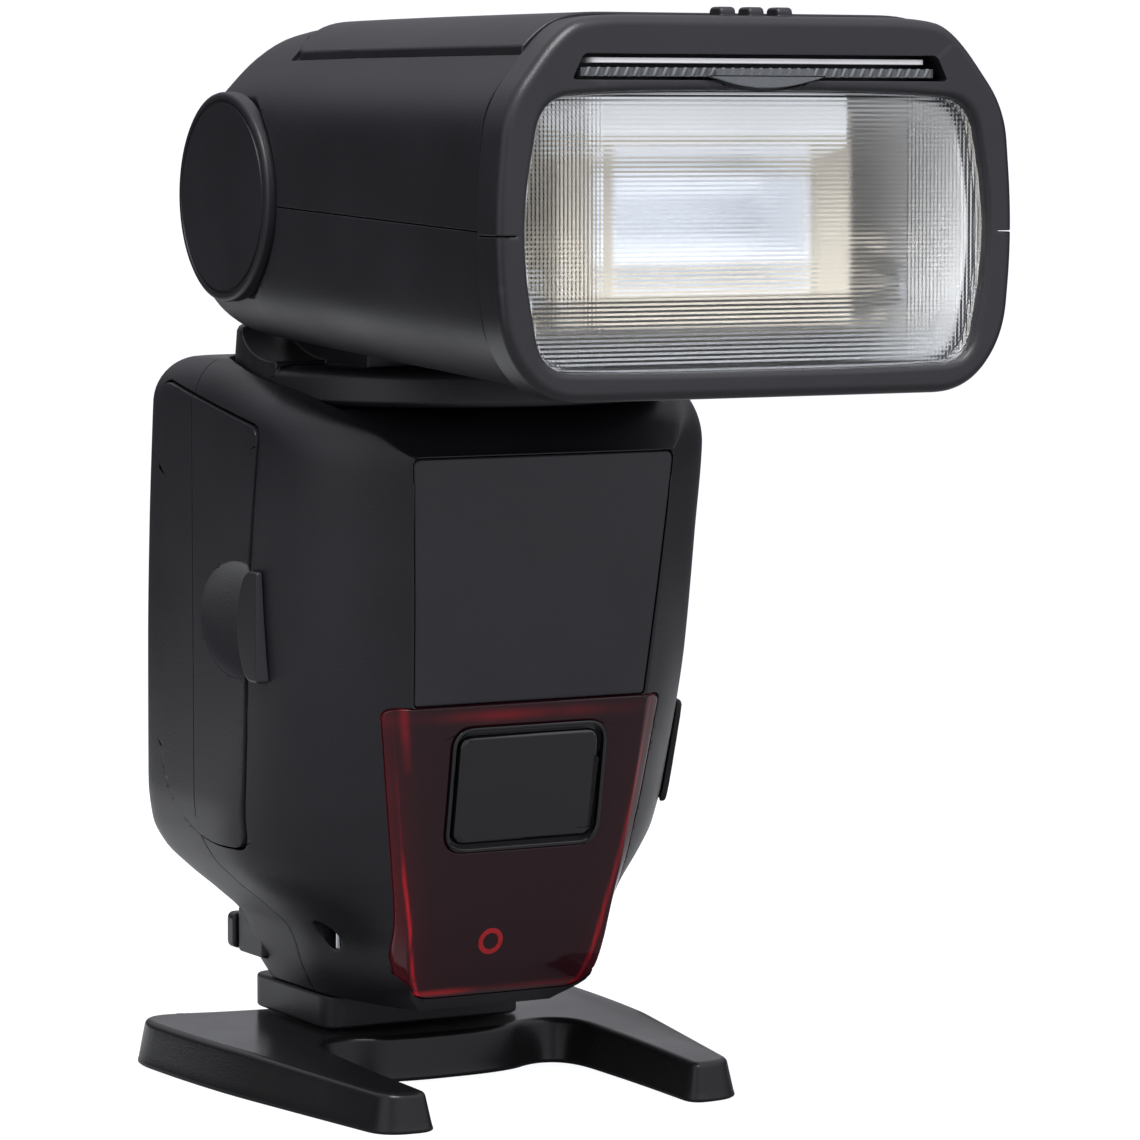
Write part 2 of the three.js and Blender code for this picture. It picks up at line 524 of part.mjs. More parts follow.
add('stand_base', cut(
  common(solid(standBlank), box(-60, 60, -80, 60, 0, 20)),
  prism('x', standSlope, -60, 60),
  box(-SHOE_WIDTH / 2 - 0.3, SHOE_WIDTH / 2 + 0.3, -9.7, 30, SHOE_LOW_Z - 0.5, shoeTopZ + GAP),
  box(-6.5, 6.5, -9.7, 30, shoeTopZ, 10),
  box(-31, -26, 13.6, 20, 5.4, 10),
  cylinder('z', 1.2, 5, 0, LOCK_PIN_Y, 1.6, 1.6, 16),
  cylinder('z', -1, 6, 0, INSERT.y, INSERT.radius + GAP, INSERT.radius + GAP, 28)), 'gloss');
add('stand_thread_insert', cut(
  cylinder('z', 0.3, 5.7, 0, INSERT.y, INSERT.radius, INSERT.radius, 28),
  cylinder('z', -1, 10, 0, INSERT.y, INSERT.bore, INSERT.bore, 24)), 'brass');

// ---------------------------------------------------------------- neck

const SADDLE_RADIUS = 23.8; // clears the head's rear as it tilts
const SADDLE_TOP_Z = 113.2;
const saddle = cut(
  cylinder('z', DRUM_LOW_Z + 1, SADDLE_TOP_Z, 0, SWIVEL_Y, DRUM_RADIUS, DRUM_RADIUS - 1, 40),
  cylinder('x', -50, 50, TILT_Y, TILT_Z, SADDLE_RADIUS, SADDLE_RADIUS, 36),
  box(-50, 50, -80, TILT_Y, DRUM_LOW_Z, 130));
const drum = join(
  saddle,
  cylinder('z', DRUM_LOW_Z, DRUM_LOW_Z + 0.8, 0, SWIVEL_Y, DRUM_RADIUS - 0.7, DRUM_RADIUS, 40),
  cylinder('z', DRUM_LOW_Z + 0.7, DRUM_HIGH_Z - 1, 0, SWIVEL_Y, DRUM_RADIUS, DRUM_RADIUS - 0.5, 40),
  cylinder('z', DRUM_HIGH_Z - 1.1, DRUM_HIGH_Z, 0, SWIVEL_Y, DRUM_RADIUS - 0.5, DRUM_RADIUS - 1.6, 40));
const YOKE_X = CHEEK_X - 0.5;
const column = prism('x', outline([[TILT_Y - 13.5, DRUM_HIGH_Z - 1], [TILT_Y + 13.5, DRUM_HIGH_Z - 1],
  [TILT_Y + 13.5, TILT_Z], [TILT_Y - 13.5, TILT_Z]]), -YOKE_X, YOKE_X);
const barrel = cylinder('x', -YOKE_X, YOKE_X, TILT_Y, TILT_Z, BARREL_RADIUS, BARREL_RADIUS, 32);
add('neck_yoke', cut(
  join(drum, column, barrel, upright(96, DRUM_LOW_Z + 0.1, HUB_RADIUS, 24)),
  cylinder('x', -40, 40, TILT_Y, TILT_Z, AXLE_RADIUS + GAP, AXLE_RADIUS + GAP, 20),
  cylinder('z', 90, 122, 0, SWIVEL_Y, 7.5, 7.5, 24)), 'shell');
add('neck_retainer', cut(
  cylinder('z', 95.7, 98.8, 0, SWIVEL_Y, 20, 20, 28),
  cylinder('z', 90, 110, 0, SWIVEL_Y, HUB_RADIUS + GAP, HUB_RADIUS + GAP, 24)), 'steel');
add('tilt_axle', cut(
  cylinder('x', -36.8, 35.5, TILT_Y, TILT_Z, AXLE_RADIUS, AXLE_RADIUS, 20),
  cylinder('x', -40, 40, TILT_Y, TILT_Z, 4, 4, 20)), 'steel');

// ---------------------------------------------------------------- head form

// Stations of the head from front to rear: top, half width, bottom.
const HEAD_STATIONS = [
  { y: HEAD_FRONT_Y, top: 156.5, half: 39.2, bottom: 107.2 },
  { y: -60, top: 156.6, half: 38.7, bottom: 109.5 },
  { y: -34, top: 156.5, half: 38.2, bottom: 110.9 },
  { y: -25, top: 155.8, half: 38, bottom: 111.4 },
  { y: -19, top: 154.2, half: 37.7, bottom: 112 },
  { y: -14, top: 151.4, half: 37.1, bottom: 113.2 },
  { y: -10, top: 147.9, half: 36.2, bottom: 115.2 },
  { y: -7, top: 143.6, half: 35, bottom: 118.2 },
  { y: -5.4, top: 138.6, half: 33.6, bottom: 122.4 },
];

// The head's outer form, or the same form inset by a wall.
function headForm(inset) {
  const points = [];
  for (const station of HEAD_STATIONS) {
    const y = Math.min(station.y, HEAD_STATIONS.at(-1).y - inset);
    const top = station.top - inset;
    const bottom = station.bottom + inset;
    const half = station.half - inset;
    const tall = Math.min(1, (top - bottom) / 45);
    const section = [
      [25.5, top], [28.6, top - 0.7 * tall], [31, top - 2.4 * tall], [36.9 - inset, top - 9.4 * tall],
      [half - 0.3, top - 11.9 * tall], [half, top - 14.5 * tall],
      [half, bottom + 10 * tall], [half - 0.4, bottom + 7.6 * tall], [half - 1.5, bottom + 5.6 * tall],
      [32.6 - inset / 2, bottom + 1 * tall], [30, bottom + 0.2 * tall], [27, bottom],
    ];
    for (const [wide, z] of section) {
      const x = Math.min(wide, half);
      points.push(new THREE.Vector3(x, y, z), new THREE.Vector3(-x, y, z));
    }
  }
  return solid(new ConvexGeometry(points));
}

// The space between the cheeks that the neck turns in, seen from the side.
function cheekSlot(grow) {
  const radius = CHEEK_SLOT_RADIUS + grow;
  const shape = new THREE.Shape();
  shape.moveTo(TILT_Y - radius, 90);
  shape.lineTo(20, 90);
  shape.lineTo(20, TILT_Z + radius);
  shape.lineTo(TILT_Y, TILT_Z + radius);
  shape.absarc(TILT_Y, TILT_Z, radius, Math.PI / 2, Math.PI, false);
  shape.closePath();
  return prism('x', shape, -CHEEK_X - grow, CHEEK_X + grow, { segments: 12 });
}

const headOuter = headForm(0);
const headCavity = cut(headForm(WALL), cheekSlot(WALL));
const RECESS_X = 37.2;
const RECESS_RADIUS = PIVOT_RADIUS + 0.4;
const RECESS_FLARE = 27.6; // how much wider the dished recess is at its outer end
const pivotRecess = (side) => {
  const dish = new THREE.CylinderGeometry(RECESS_RADIUS + RECESS_FLARE, RECESS_RADIUS, 12.8, 32);
  dish.rotateZ(-side * Math.PI / 2);
  dish.translate(side * (RECESS_X + 6.4), TILT_Y, TILT_Z);
  return solid(dish);
};
const headCase = cut(
  headOuter, headCavity, cheekSlot(0), pivotRecess(-1), pivotRecess(1),
  cylinder('x', -50, 50, TILT_Y, TILT_Z, AXLE_BORE, AXLE_BORE, 20),
  cylinder('x', 34, 50, TILT_Y, TILT_Z, 12.3, 12.3, 28),
);

// Everything above, or below, the sloping seam.
function seamHalf(above) {
  const geometry = new THREE.BoxGeometry(120, 200, 80);
  geometry.translate(0, 0, above ? 40 + GAP / 2 : -40 - GAP / 2);
  geometry.rotateX(Math.atan(SEAM_SLOPE));
  geometry.translate(0, TILT_Y, SEAM_Z);
  return solid(geometry);
}
add('head_lower_shell', largest(common(headCase, seamHalf(false))), 'shell');
add('head_upper_shell', largest(common(headCase, seamHalf(true))), 'shell');

const COVER_REAR_Y = -36;
add('head_top_cover', common(cut(headForm(-1.2), headForm(-GAP)),
  box(-33, 33, HEAD_FRONT_Y, COVER_REAR_Y, 149, 170)), 'shell');

// ---------------------------------------------------------------- bezel and lens

const bezelOutline = outline(mirrored([
  [32.6, 106.3, 5], [38.8, 113.4, 5], [HALF_WIDTH + 0.35, 128.3, 14], [38.8, 144.8, 4.5],
  [30.4, 155.4, 6], [25, 156.8, 6],
]));
const LENS_LOW_Z = LENS_Z - LENS_HALF_HEIGHT;
const LENS_HIGH_Z = LENS_Z + LENS_HALF_HEIGHT;
const lensOutline = (grow) => outline(mirrored([
  [20, LENS_LOW_Z - 0.2 - grow, 16], [33.2 + grow, LENS_LOW_Z + 0.3 - grow, 4.6],
  [LENS_HALF_WIDTH + 0.5 + grow, LENS_Z, 18],
  [33.2 + grow, LENS_HIGH_Z - 0.7 + grow, 4.6], [20, LENS_HIGH_Z + 0.2 + grow, 16],
]));
const slotOutline = outline(mirrored([[28.9, SLOT_LOW_Z, 0.6], [27.2, SLOT_HIGH_Z, 0.8]]));
const gripRib = (x) => prism('x', rectangle(-107.4, 157, 3, 1.8, 0.7), x - 1.2, x + 1.2, { segments: 3 });
add('bezel', cut(
  join(prism('y', bezelOutline, LENS_FACE_Y, HEAD_FRONT_Y - GAP, { bevel: 1.1, segments: 5 }),
    gripRib(-4.4), gripRib(0), gripRib(4.4)),
  prism('y', lensOutline(0), -120, -90, { segments: 8 }),
  prism('y', slotOutline, -120, -90)), 'shell');
add('fresnel_lens', prism(
  'y', lensOutline(-GAP), LENS_FACE_Y + 1.5, LENS_FACE_Y + 3.7, { segments: 8 }), 'clear');

// ---------------------------------------------------------------- pull-out panels

add('catchlight_card', prism('z', rectangle(0, -86, 52, 48.2, 1.5), 150.5, 151.2), 'white');
const panelTab = outline(mirrored([[3, 147.2, 3], [10, 148.8, 2]]));
add('wide_panel', join(
  prism('z', rectangle(0, -87, 55.4, 46.6, 1.5), 148.8, 150),
  prism('y', panelTab, LENS_FACE_Y - 0.9, LENS_FACE_Y - 0.3),
  box(-8, 8, LENS_FACE_Y - 0.6, LENS_FACE_Y + 2, 148.8, 149.6)), 'clear');

// ---------------------------------------------------------------- pivot caps and bounce lock

const onTiltAxis = (from, to, radius, endRadius, sides) => cylinder(
  'x', from, to, TILT_Y, TILT_Z, radius, endRadius, sides);
const CAP_BACK_X = 37.4;
const BOUNCE_RADIUS = 11.9;
add('pivot_cap_left', cut(
  onTiltAxis(-PIVOT_FACE_X, -CAP_BACK_X, PIVOT_RADIUS - 0.4, PIVOT_RADIUS, 32),
  cut(onTiltAxis(-45, 0.4 - PIVOT_FACE_X, 13.9, 13.9, 32), onTiltAxis(-50, 0, 13.4, 13.4, 32))), 'shell');
add('pivot_ring_right', cut(
  onTiltAxis(CAP_BACK_X, PIVOT_FACE_X, PIVOT_RADIUS, PIVOT_RADIUS - 0.4, 32),
  onTiltAxis(30, 50, BOUNCE_RADIUS + GAP, BOUNCE_RADIUS + GAP, 28)), 'shell');
add('bounce_lock_button', onTiltAxis(
  CAP_BACK_X + 0.2, PIVOT_FACE_X + 0.3, BOUNCE_RADIUS, BOUNCE_RADIUS - 0.4, 28), 'shell');

// ---------------------------------------------------------------- zoom mechanism

const ZOOM = { z: 129.8, halfWidth: 21.4, halfHeight: 12.4, front: -98, back: -72 };
const SCREW = { x: -27.2, z: 121 };
const MOTOR_RADIUS = 5.5;
const carriageBox = box(-ZOOM.halfWidth, ZOOM.halfWidth, ZOOM.front, ZOOM.back,
  ZOOM.z - ZOOM.halfHeight, ZOOM.z + ZOOM.halfHeight);
add('zoom_carriage', cut(
  join(carriageBox, box(-31, -21, -92, -82, 118, 124), box(21, 31, -92, -82, 118, 124)),
  box(-15.9, 15.9, ZOOM.front - 5, -75, ZOOM.z - 8, ZOOM.z + 8),
  cylinder('x', -30, 30, -84, ZOOM.z, 2.6, 2.6, 20),
  cylinder('y', -120, 0, SCREW.x, SCREW.z, 2, 2, 16),
  cylinder('y', -120, 0, -SCREW.x, SCREW.z, 1.7, 1.7, 16)), 'cream');

// reflector: a parabolic trough that opens towards the front
const TROUGH = { focus: -84, apex: -78, mouth: -97, thickness: 0.8 };
const troughHalf = (y, grow) => Math.sqrt(Math.max(0, TROUGH.apex + grow - y)) * 1.72 + grow * 0.4;
function troughShape(grow) {
  const side = [];
  const steps = 12;
  for (let i = 0; i <= steps; i += 1) {
    const y = TROUGH.apex + grow + (TROUGH.mouth - TROUGH.apex - grow) * (i / steps) ** 2;
    side.push(new THREE.Vector2(y, troughHalf(y, grow)));
  }
  const upper = side.map(({ x, y }) => new THREE.Vector2(x, ZOOM.z + y));
  const lower = side.slice(1).map(({ x, y }) => new THREE.Vector2(x, ZOOM.z - y));
  return new THREE.Shape([...lower.reverse(), ...upper]);
}
add('reflector', cut(
  prism('x', troughShape(TROUGH.thickness), -15.6, 15.6),
  prism('x', troughShape(0), -14.8, 14.8),
  box(-14.8, 14.8, TROUGH.mouth - 3, TROUGH.mouth + 0.2, ZOOM.z - 7, ZOOM.z + 7),
  cylinder('x', -30, 30, TROUGH.focus, ZOOM.z, 2.4, 2.4, 20)), 'steel');
add('flash_tube', cylinder('x', -19.5, 19.5, TROUGH.focus, ZOOM.z, 1.9, 1.9, 16), 'glass');

add('zoom_screw', cylinder('y', -101, -52.4, SCREW.x, SCREW.z, 1.5, 1.5, 12), 'steel');
add('zoom_motor', cut(
  cylinder('y', -53.5, -44, SCREW.x, SCREW.z, MOTOR_RADIUS, MOTOR_RADIUS, 28),
  cylinder('y', -60, -52, SCREW.x, SCREW.z, 1.9, 1.9, 16)), 'steel');
add('zoom_guide_rod', cylinder('y', -103, -45, -SCREW.x, SCREW.z, 1.3, 1.3, 12), 'steel');

export default flash;
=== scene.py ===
import bmesh
import bpy
import math
import numpy as np
from mathutils import Matrix, Vector


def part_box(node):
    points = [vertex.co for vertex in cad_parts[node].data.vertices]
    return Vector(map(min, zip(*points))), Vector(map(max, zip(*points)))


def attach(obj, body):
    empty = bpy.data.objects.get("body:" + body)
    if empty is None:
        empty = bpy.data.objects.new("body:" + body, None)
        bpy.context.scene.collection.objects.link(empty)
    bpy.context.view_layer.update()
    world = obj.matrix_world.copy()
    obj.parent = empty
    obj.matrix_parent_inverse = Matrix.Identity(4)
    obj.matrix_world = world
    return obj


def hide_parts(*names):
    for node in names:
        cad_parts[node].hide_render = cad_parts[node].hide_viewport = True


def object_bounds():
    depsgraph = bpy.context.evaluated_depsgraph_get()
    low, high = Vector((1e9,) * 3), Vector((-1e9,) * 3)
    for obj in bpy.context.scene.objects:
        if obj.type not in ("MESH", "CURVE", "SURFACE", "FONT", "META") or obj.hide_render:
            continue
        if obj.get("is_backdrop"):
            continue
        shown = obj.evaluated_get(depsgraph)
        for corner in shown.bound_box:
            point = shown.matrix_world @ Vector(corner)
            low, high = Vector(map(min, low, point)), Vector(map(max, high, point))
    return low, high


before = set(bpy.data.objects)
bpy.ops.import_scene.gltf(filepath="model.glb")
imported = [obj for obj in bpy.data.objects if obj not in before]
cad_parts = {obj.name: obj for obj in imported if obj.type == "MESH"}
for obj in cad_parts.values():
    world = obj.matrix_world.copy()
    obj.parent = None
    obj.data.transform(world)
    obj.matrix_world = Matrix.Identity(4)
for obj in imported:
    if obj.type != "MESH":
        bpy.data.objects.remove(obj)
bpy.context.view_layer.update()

# ---------------------------------------------------------------- measures

# Tables and helpers are in millimetres from ORIGIN: the middle of the hot-shoe foot, on the floor.
foot_low, foot_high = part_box("shoe_foot")
ORIGIN = np.array([(foot_low.x + foot_high.x) / 2, (foot_low.y + foot_high.y) / 2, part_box("stand_base")[0].z]) * 1000


def box(node):
    low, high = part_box(node)
    return np.array(low) * 1000 - ORIGIN, np.array(high) * 1000 - ORIGIN


def centre(node):
    low, high = box(node)
    return (low + high) / 2


TILT = centre("pivot_cap_left")[1:]
SWIVEL_Y = centre("neck_retainer")[1]
LENS = centre("fresnel_lens")
HEAD_FRONT = box("head_lower_shell")[0][1]
BEZEL_FACE = box("bezel")[0][1]
REAR_Y = box("rear_shell")[1][1]

# ---------------------------------------------------------------- mesh helpers


def make(name, points, faces):
    """A mesh in millimetres with its faces turned outwards."""
    mesh = bpy.data.meshes.new(name)
    mesh.from_pydata((np.asarray(points, float) + ORIGIN).tolist(), [], faces)
    bm = bmesh.new()
    bm.from_mesh(mesh)
    bmesh.ops.recalc_face_normals(bm, faces=bm.faces)
    bm.to_mesh(mesh)
    bm.free()
    obj = bpy.data.objects.new(name, mesh)
    bpy.context.scene.collection.objects.link(obj)
    return obj


def skin(name, rings, around=False):
    """A surface through rings of points: capped at its ends, or closed on itself as a ring."""
    rings = np.asarray(rings, float)
    count, n = rings.shape[:2]
    faces = []
    for i in range(count if around else count - 1):
        a, b = i * n, (i + 1) % count * n
        faces += [[a + j, a + (j + 1) % n, b + (j + 1) % n, b + j] for j in range(n)]
    if not around:
        faces += [list(range(n)), list(range((count - 1) * n, count * n))]
    return make(name, rings.reshape(-1, 3), faces)


def bake(obj):
    """Applies the object's modifiers."""
    graph = bpy.context.evaluated_depsgraph_get()
    mesh = bpy.data.meshes.new_from_object(obj.evaluated_get(graph))
    obj.modifiers.clear()
    old = obj.data
    obj.data = mesh
    bpy.data.meshes.remove(old)
    return obj


def boolean(obj, operation, tools):
    for tool in tools:
        modifier = obj.modifiers.new("boolean", "BOOLEAN")
        modifier.operation = operation
        modifier.solver = "MANIFOLD"
        modifier.object = tool
    bake(obj)
    for tool in tools:
        bpy.data.objects.remove(tool)
    return obj


def cut(obj, *tools):
    return boolean(obj, "DIFFERENCE", tools)


def common(obj, *tools):
    return boolean(obj, "INTERSECT", tools)


def join(obj, *tools):
    return boolean(obj, "UNION", tools) if tools else obj


def copy(obj, name):
    twin = bpy.data.objects.new(name, obj.data.copy())
    bpy.context.scene.collection.objects.link(twin)
    return twin


def soften(obj, width, segments=2, angle=32):
    """Rounds the edges that turn by more than an angle."""
    modifier = obj.modifiers.new("edges", "BEVEL")
    modifier.width = width
    modifier.segments = segments
    modifier.limit_method = "ANGLE"
    modifier.angle_limit = math.radians(angle)
    modifier.use_clamp_overlap = False
    return bake(obj)


def refine(obj, longest):
    """Splits the edges longer than a length, so that a value kept at each point follows fine bands."""
    mesh = bmesh.new()
    mesh.from_mesh(obj.data)
    bmesh.ops.triangulate(mesh, faces=mesh.faces[:])
    for _ in range(3):
        edges = [e for e in mesh.edges if e.calc_length() > longest]
        bmesh.ops.subdivide_edges(mesh, edges=edges, cuts=1)
        bmesh.ops.triangulate(mesh, faces=mesh.faces[:])
    mesh.to_mesh(obj.data)
    mesh.free()
    return obj


def curved(t, start, corner, end):
    """A quadratic curve from start to end that turns at corner."""
    return (1 - t) ** 2 * start + 2 * t * (1 - t) * corner + t * t * end


def rounded(corners, steps=8):
    """A closed outline through corners [u, v, radius], each rounded by a quadratic curve."""
    points = []
    pts = [np.array(c[:2], float) for c in corners]
    for i, corner in enumerate(corners):
        radius = corner[2] if len(corner) > 2 else 0
        here, before, after = pts[i], pts[i - 1], pts[(i + 1) % len(pts)]
        if radius <= 0:
            points.append(here)
            continue
        a, b = before - here, after - here
        start = here + a / np.linalg.norm(a) * min(radius, np.linalg.norm(a) / 2)
        end = here + b / np.linalg.norm(b) * min(radius, np.linalg.norm(b) / 2)
        for t in np.linspace(0, 1, steps + 1):
            points.append(curved(t, start, here, end))
    points = np.array(points)
    apart = np.linalg.norm(points - np.roll(points, 1, axis=0), axis=1) > 1e-4
    return points[apart]


def mirrored(half):
    """A half outline from the middle line, completed on the other side of it."""
    return list(half) + [[-c[0], *c[1:]] for c in reversed(half)]


def rectangle(u, v, width, height, radius, steps=8):
    a, b = width / 2, height / 2
    return rounded([[u - a, v - b, radius], [u + a, v - b, radius], [u + a, v + b, radius],
                    [u - a, v + b, radius]], steps)


def seen(node, axis):
    """Middle and size of a node as seen along an axis."""
    low, high = box(node)
    kept = [i for i in range(3) if "xyz"[i] != axis]
    return *((low + high)[kept] / 2), *(high - low)[kept]


def outline_of(node, axis, radius, grow=0.0, steps=8):
    """A node's outline as seen along an axis, moved outwards."""
    u, v, width, height = seen(node, axis)
    return rectangle(u, v, width + 2 * grow, height + 2 * grow, radius, steps)


def circle(u, v, radius, steps=96):
    t = np.linspace(0, 2 * math.pi, steps, endpoint=False)
    return np.stack([u + radius * np.cos(t), v + radius * np.sin(t)], axis=1)


def grown(shape, by):
    """A closed outline moved outwards."""
    before, after = shape - np.roll(shape, 1, axis=0), np.roll(shape, -1, axis=0) - shape
    area = np.sum(shape[:, 0] * np.roll(shape[:, 1], -1) - np.roll(shape[:, 0], -1) * shape[:, 1])
    side = 1 if area > 0 else -1

    def normal(edge):
        return side * np.stack([edge[:, 1], -edge[:, 0]], axis=1) / np.linalg.norm(edge, axis=1)[:, None]

    middle = normal(before) + normal(after)
    length = np.maximum(np.sum(middle * middle, axis=1) / 2, 0.5)
    return shape + by * middle / length[:, None]


def lifted(shape, axis, at):
    """Flat points as places in space: along x they are (y, z), along y (x, z), along z (x, y)."""
    return np.insert(shape, "xyz".index(axis), at, axis=1)


def prism(name, axis, shape, low, high, bevel=0.0, low_bevel=None, steps=4):
    """A straight prism whose end edges are rounded."""
    low_bevel = bevel if low_bevel is None else low_bevel
    rings = []
    for t in np.linspace(0, math.pi / 2, steps + 1) if low_bevel else [math.pi / 2]:
        rings.append(lifted(grown(shape, -low_bevel * (1 - math.sin(t))), axis, low + low_bevel * (1 - math.cos(t))))
    for t in np.linspace(math.pi / 2, 0, steps + 1) if bevel else [math.pi / 2]:
        rings.append(lifted(grown(shape, -bevel * (1 - math.sin(t))), axis, high - bevel * (1 - math.cos(t))))
    return skin(name, rings)


def block(name, x0, x1, y0, y1, z0, z1):
    return prism(name, "z", np.array([[x0, y0], [x1, y0], [x1, y1], [x0, y1]], float), z0, z1)


def turned(name, axis, u, v, profile, steps=96):
    """A solid turned about an axis: its profile is [place along the axis, radius]."""
    return skin(name, [lifted(circle(u, v, radius, steps), axis, at) for at, radius in profile])


def rod(name, axis, u, v, radius, low, high, steps=96):
    return turned(name, axis, u, v, [[low, radius], [high, radius]], steps)


def smooth(x, xs, ys):
    """A monotone cubic curve through the points."""
    xs, ys, x = np.asarray(xs, float), np.asarray(ys, float), np.asarray(x, float)
    h = np.diff(xs)
    d = np.diff(ys) / h
    m = np.concatenate([[d[0]], np.zeros(len(xs) - 2), [d[-1]]])
    for i in range(1, len(xs) - 1):
        if d[i - 1] * d[i] > 0:
            a, b = 2 * h[i] + h[i - 1], h[i] + 2 * h[i - 1]
            m[i] = (a + b) / (a / d[i - 1] + b / d[i])
    k = np.clip(np.searchsorted(xs, x) - 1, 0, len(xs) - 2)
    t = np.clip((x - xs[k]) / h[k], 0, 1)
    return ((1 + 2 * t) * (1 - t) ** 2 * ys[k] + t * (1 - t) ** 2 * h[k] * m[k]
            + t * t * (3 - 2 * t) * ys[k + 1] + t * t * (t - 1) * h[k] * m[k + 1])


def evenly(shape, count, closed=True):
    """The outline again with points at equal distances."""
    line = np.vstack([shape, shape[:1]]) if closed else shape
    along = np.concatenate([[0], np.cumsum(np.linalg.norm(np.diff(line, axis=0), axis=1))])
    at = np.linspace(0, along[-1], count + 1)[:-1] if closed else np.linspace(0, along[-1], count)
    return np.stack([np.interp(at, along, line[:, i]) for i in range(line.shape[1])], axis=1)


def relaxed(line, rounds):
    """A smoother open line: each point between its ends moves towards its neighbours."""
    line = line.copy()
    for _ in range(rounds):
        line[1:-1] = line[1:-1] / 2 + (line[:-2] + line[2:]) / 4
    return line


# ---------------------------------------------------------------- materials


def link(tree, a, b):
    tree.links.new(a, b)


def given(node, **values):
    """Sets a node's sockets. An underscore stands for a space in a socket's name."""
    for name, value in values.items():
        node.inputs[name.replace("_", " ")].default_value = value


def feed(tree, node, **sources):
    """Links other nodes to a node's sockets, named as in given()."""
    for name, source in sources.items():
        link(tree, source, node.inputs[name.replace("_", " ")])


def material(name, roughness=0.5, metallic=0.0, colour=(0.02, 0.02, 0.02)):
    made = bpy.data.materials.new(name)
    made.use_nodes = True
    made.diffuse_color = (*colour, 1)
    shader = made.node_tree.nodes["Principled BSDF"]
    given(shader, Base_Color=(*colour, 1), Roughness=roughness, Metallic=metallic)
    return made, made.node_tree, shader


def noise(tree, scale, detail=2.0, source=None):
    made = tree.nodes.new("ShaderNodeTexNoise")
    given(made, Scale=scale, Detail=detail)
    link(tree, source or object_place(tree), made.inputs["Vector"])
    return made.outputs["Fac"]


def object_place(tree):
    return tree.nodes.new("ShaderNodeTexCoord").outputs["Object"]


def mapped(tree, value, source, target, soft=False):
    """A value mapped from one range onto another."""
    made = tree.nodes.new("ShaderNodeMapRange")
    if soft:
        made.interpolation_type = "SMOOTHSTEP"
    given(made, From_Min=source[0], From_Max=source[1], To_Min=target[0], To_Max=target[1])
    link(tree, value, made.inputs["Value"])
    return made.outputs["Result"]


def spread(tree, value, low, high):
    """A noise value mapped onto a range."""
    return mapped(tree, value, (0.3, 0.7), (low, high))


def combined(tree, operation, first, second):
    made = tree.nodes.new("ShaderNodeMath")
    made.operation = operation
    link(tree, first, made.inputs[0])
    link(tree, second, made.inputs[1])
    return made


def shaded(colour, share):
    return [c * share for c in colour]


def blended(tree, share, first, second):
    """A colour between two, by a share."""
    made = tree.nodes.new("ShaderNodeMix")
    made.data_type = "RGBA"
    made.inputs[6].default_value = (*first, 1)
    made.inputs[7].default_value = (*second, 1)
    link(tree, share, made.inputs[0])
    return made.outputs[2]


def bumped(tree, shader, height, distance, strength=1.0):
    made = tree.nodes.new("ShaderNodeBump")
    given(made, Strength=strength, Distance=distance)
    link(tree, height, made.inputs["Height"])
    feed(tree, shader, Normal=made.outputs["Normal"])


def moulded(name, colour, roughness, grain=0.00003, size=3200, sheen=0.5):
    """Moulded plastic: a fine etched grain, slight changes of gloss and colour, and a painted highlight that makes its
    sharp edges paler.
    """
    made, tree, shader = material(name, roughness, colour=colour)
    fine, broad = noise(tree, size, 1.5), noise(tree, 45, 3)
    pointiness = tree.nodes.new("ShaderNodeNewGeometry").outputs["Pointiness"]
    # Sharp convex edges get a paler colour: a painted highlight along the edges.
    painted_edge_highlight = mapped(tree, pointiness, (0.53, 0.62), (0, 0.35))
    base = blended(tree, spread(tree, broad, 0, 1), shaded(colour, 0.88), shaded(colour, 1.12))
    edge = blended(tree, painted_edge_highlight, colour, [c * 2.2 + 0.006 for c in colour])
    link(tree, base, edge.node.inputs[6])
    feed(tree, shader, Base_Color=edge, Roughness=spread(tree, broad, roughness - 0.04, roughness + 0.04))
    given(shader, Specular_IOR_Level=sheen)
    bumped(tree, shader, fine, grain)
    return made


def polished(name, colour, roughness=0.12):
    """Gloss plastic with faint ripples and dust-dulled patches."""
    made, tree, shader = material(name, roughness, colour=colour)
    broad = noise(tree, 60, 3)
    feed(tree, shader, Roughness=spread(tree, broad, roughness * 0.7, roughness * 1.5),
         Base_Color=blended(tree, broad, shaded(colour, 0.8), shaded(colour, 1.2)))
    given(shader, Coat_Weight=0.5, Coat_Roughness=0.06)
    bumped(tree, shader, noise(tree, 220, 1), 0.00001, 0.4)
    return made


def metal(name, colour, roughness=0.3):
    """Metal with fine drawn scratches and stained patches."""
    made, tree, shader = material(name, roughness, 1.0, colour)
    stretch = tree.nodes.new("ShaderNodeMapping")
    given(stretch, Scale=(1, 1, 0.08))
    link(tree, object_place(tree), stretch.inputs["Vector"])
    lines = noise(tree, 900, 4, stretch.outputs["Vector"])
    feed(tree, shader, Roughness=spread(tree, lines, roughness * 0.7, roughness * 1.3),
         Base_Color=blended(tree, noise(tree, 120, 3), shaded(colour, 0.85), colour))
    bumped(tree, shader, lines, 0.00001)
    return made


def lit(finish, colour, strength):
    """Lets a material give off a little light of its own: painted light, for parts that are no lamps."""
    given(finish.node_tree.nodes["Principled BSDF"], Emission_Color=(*colour, 1), Emission_Strength=strength)
    return finish


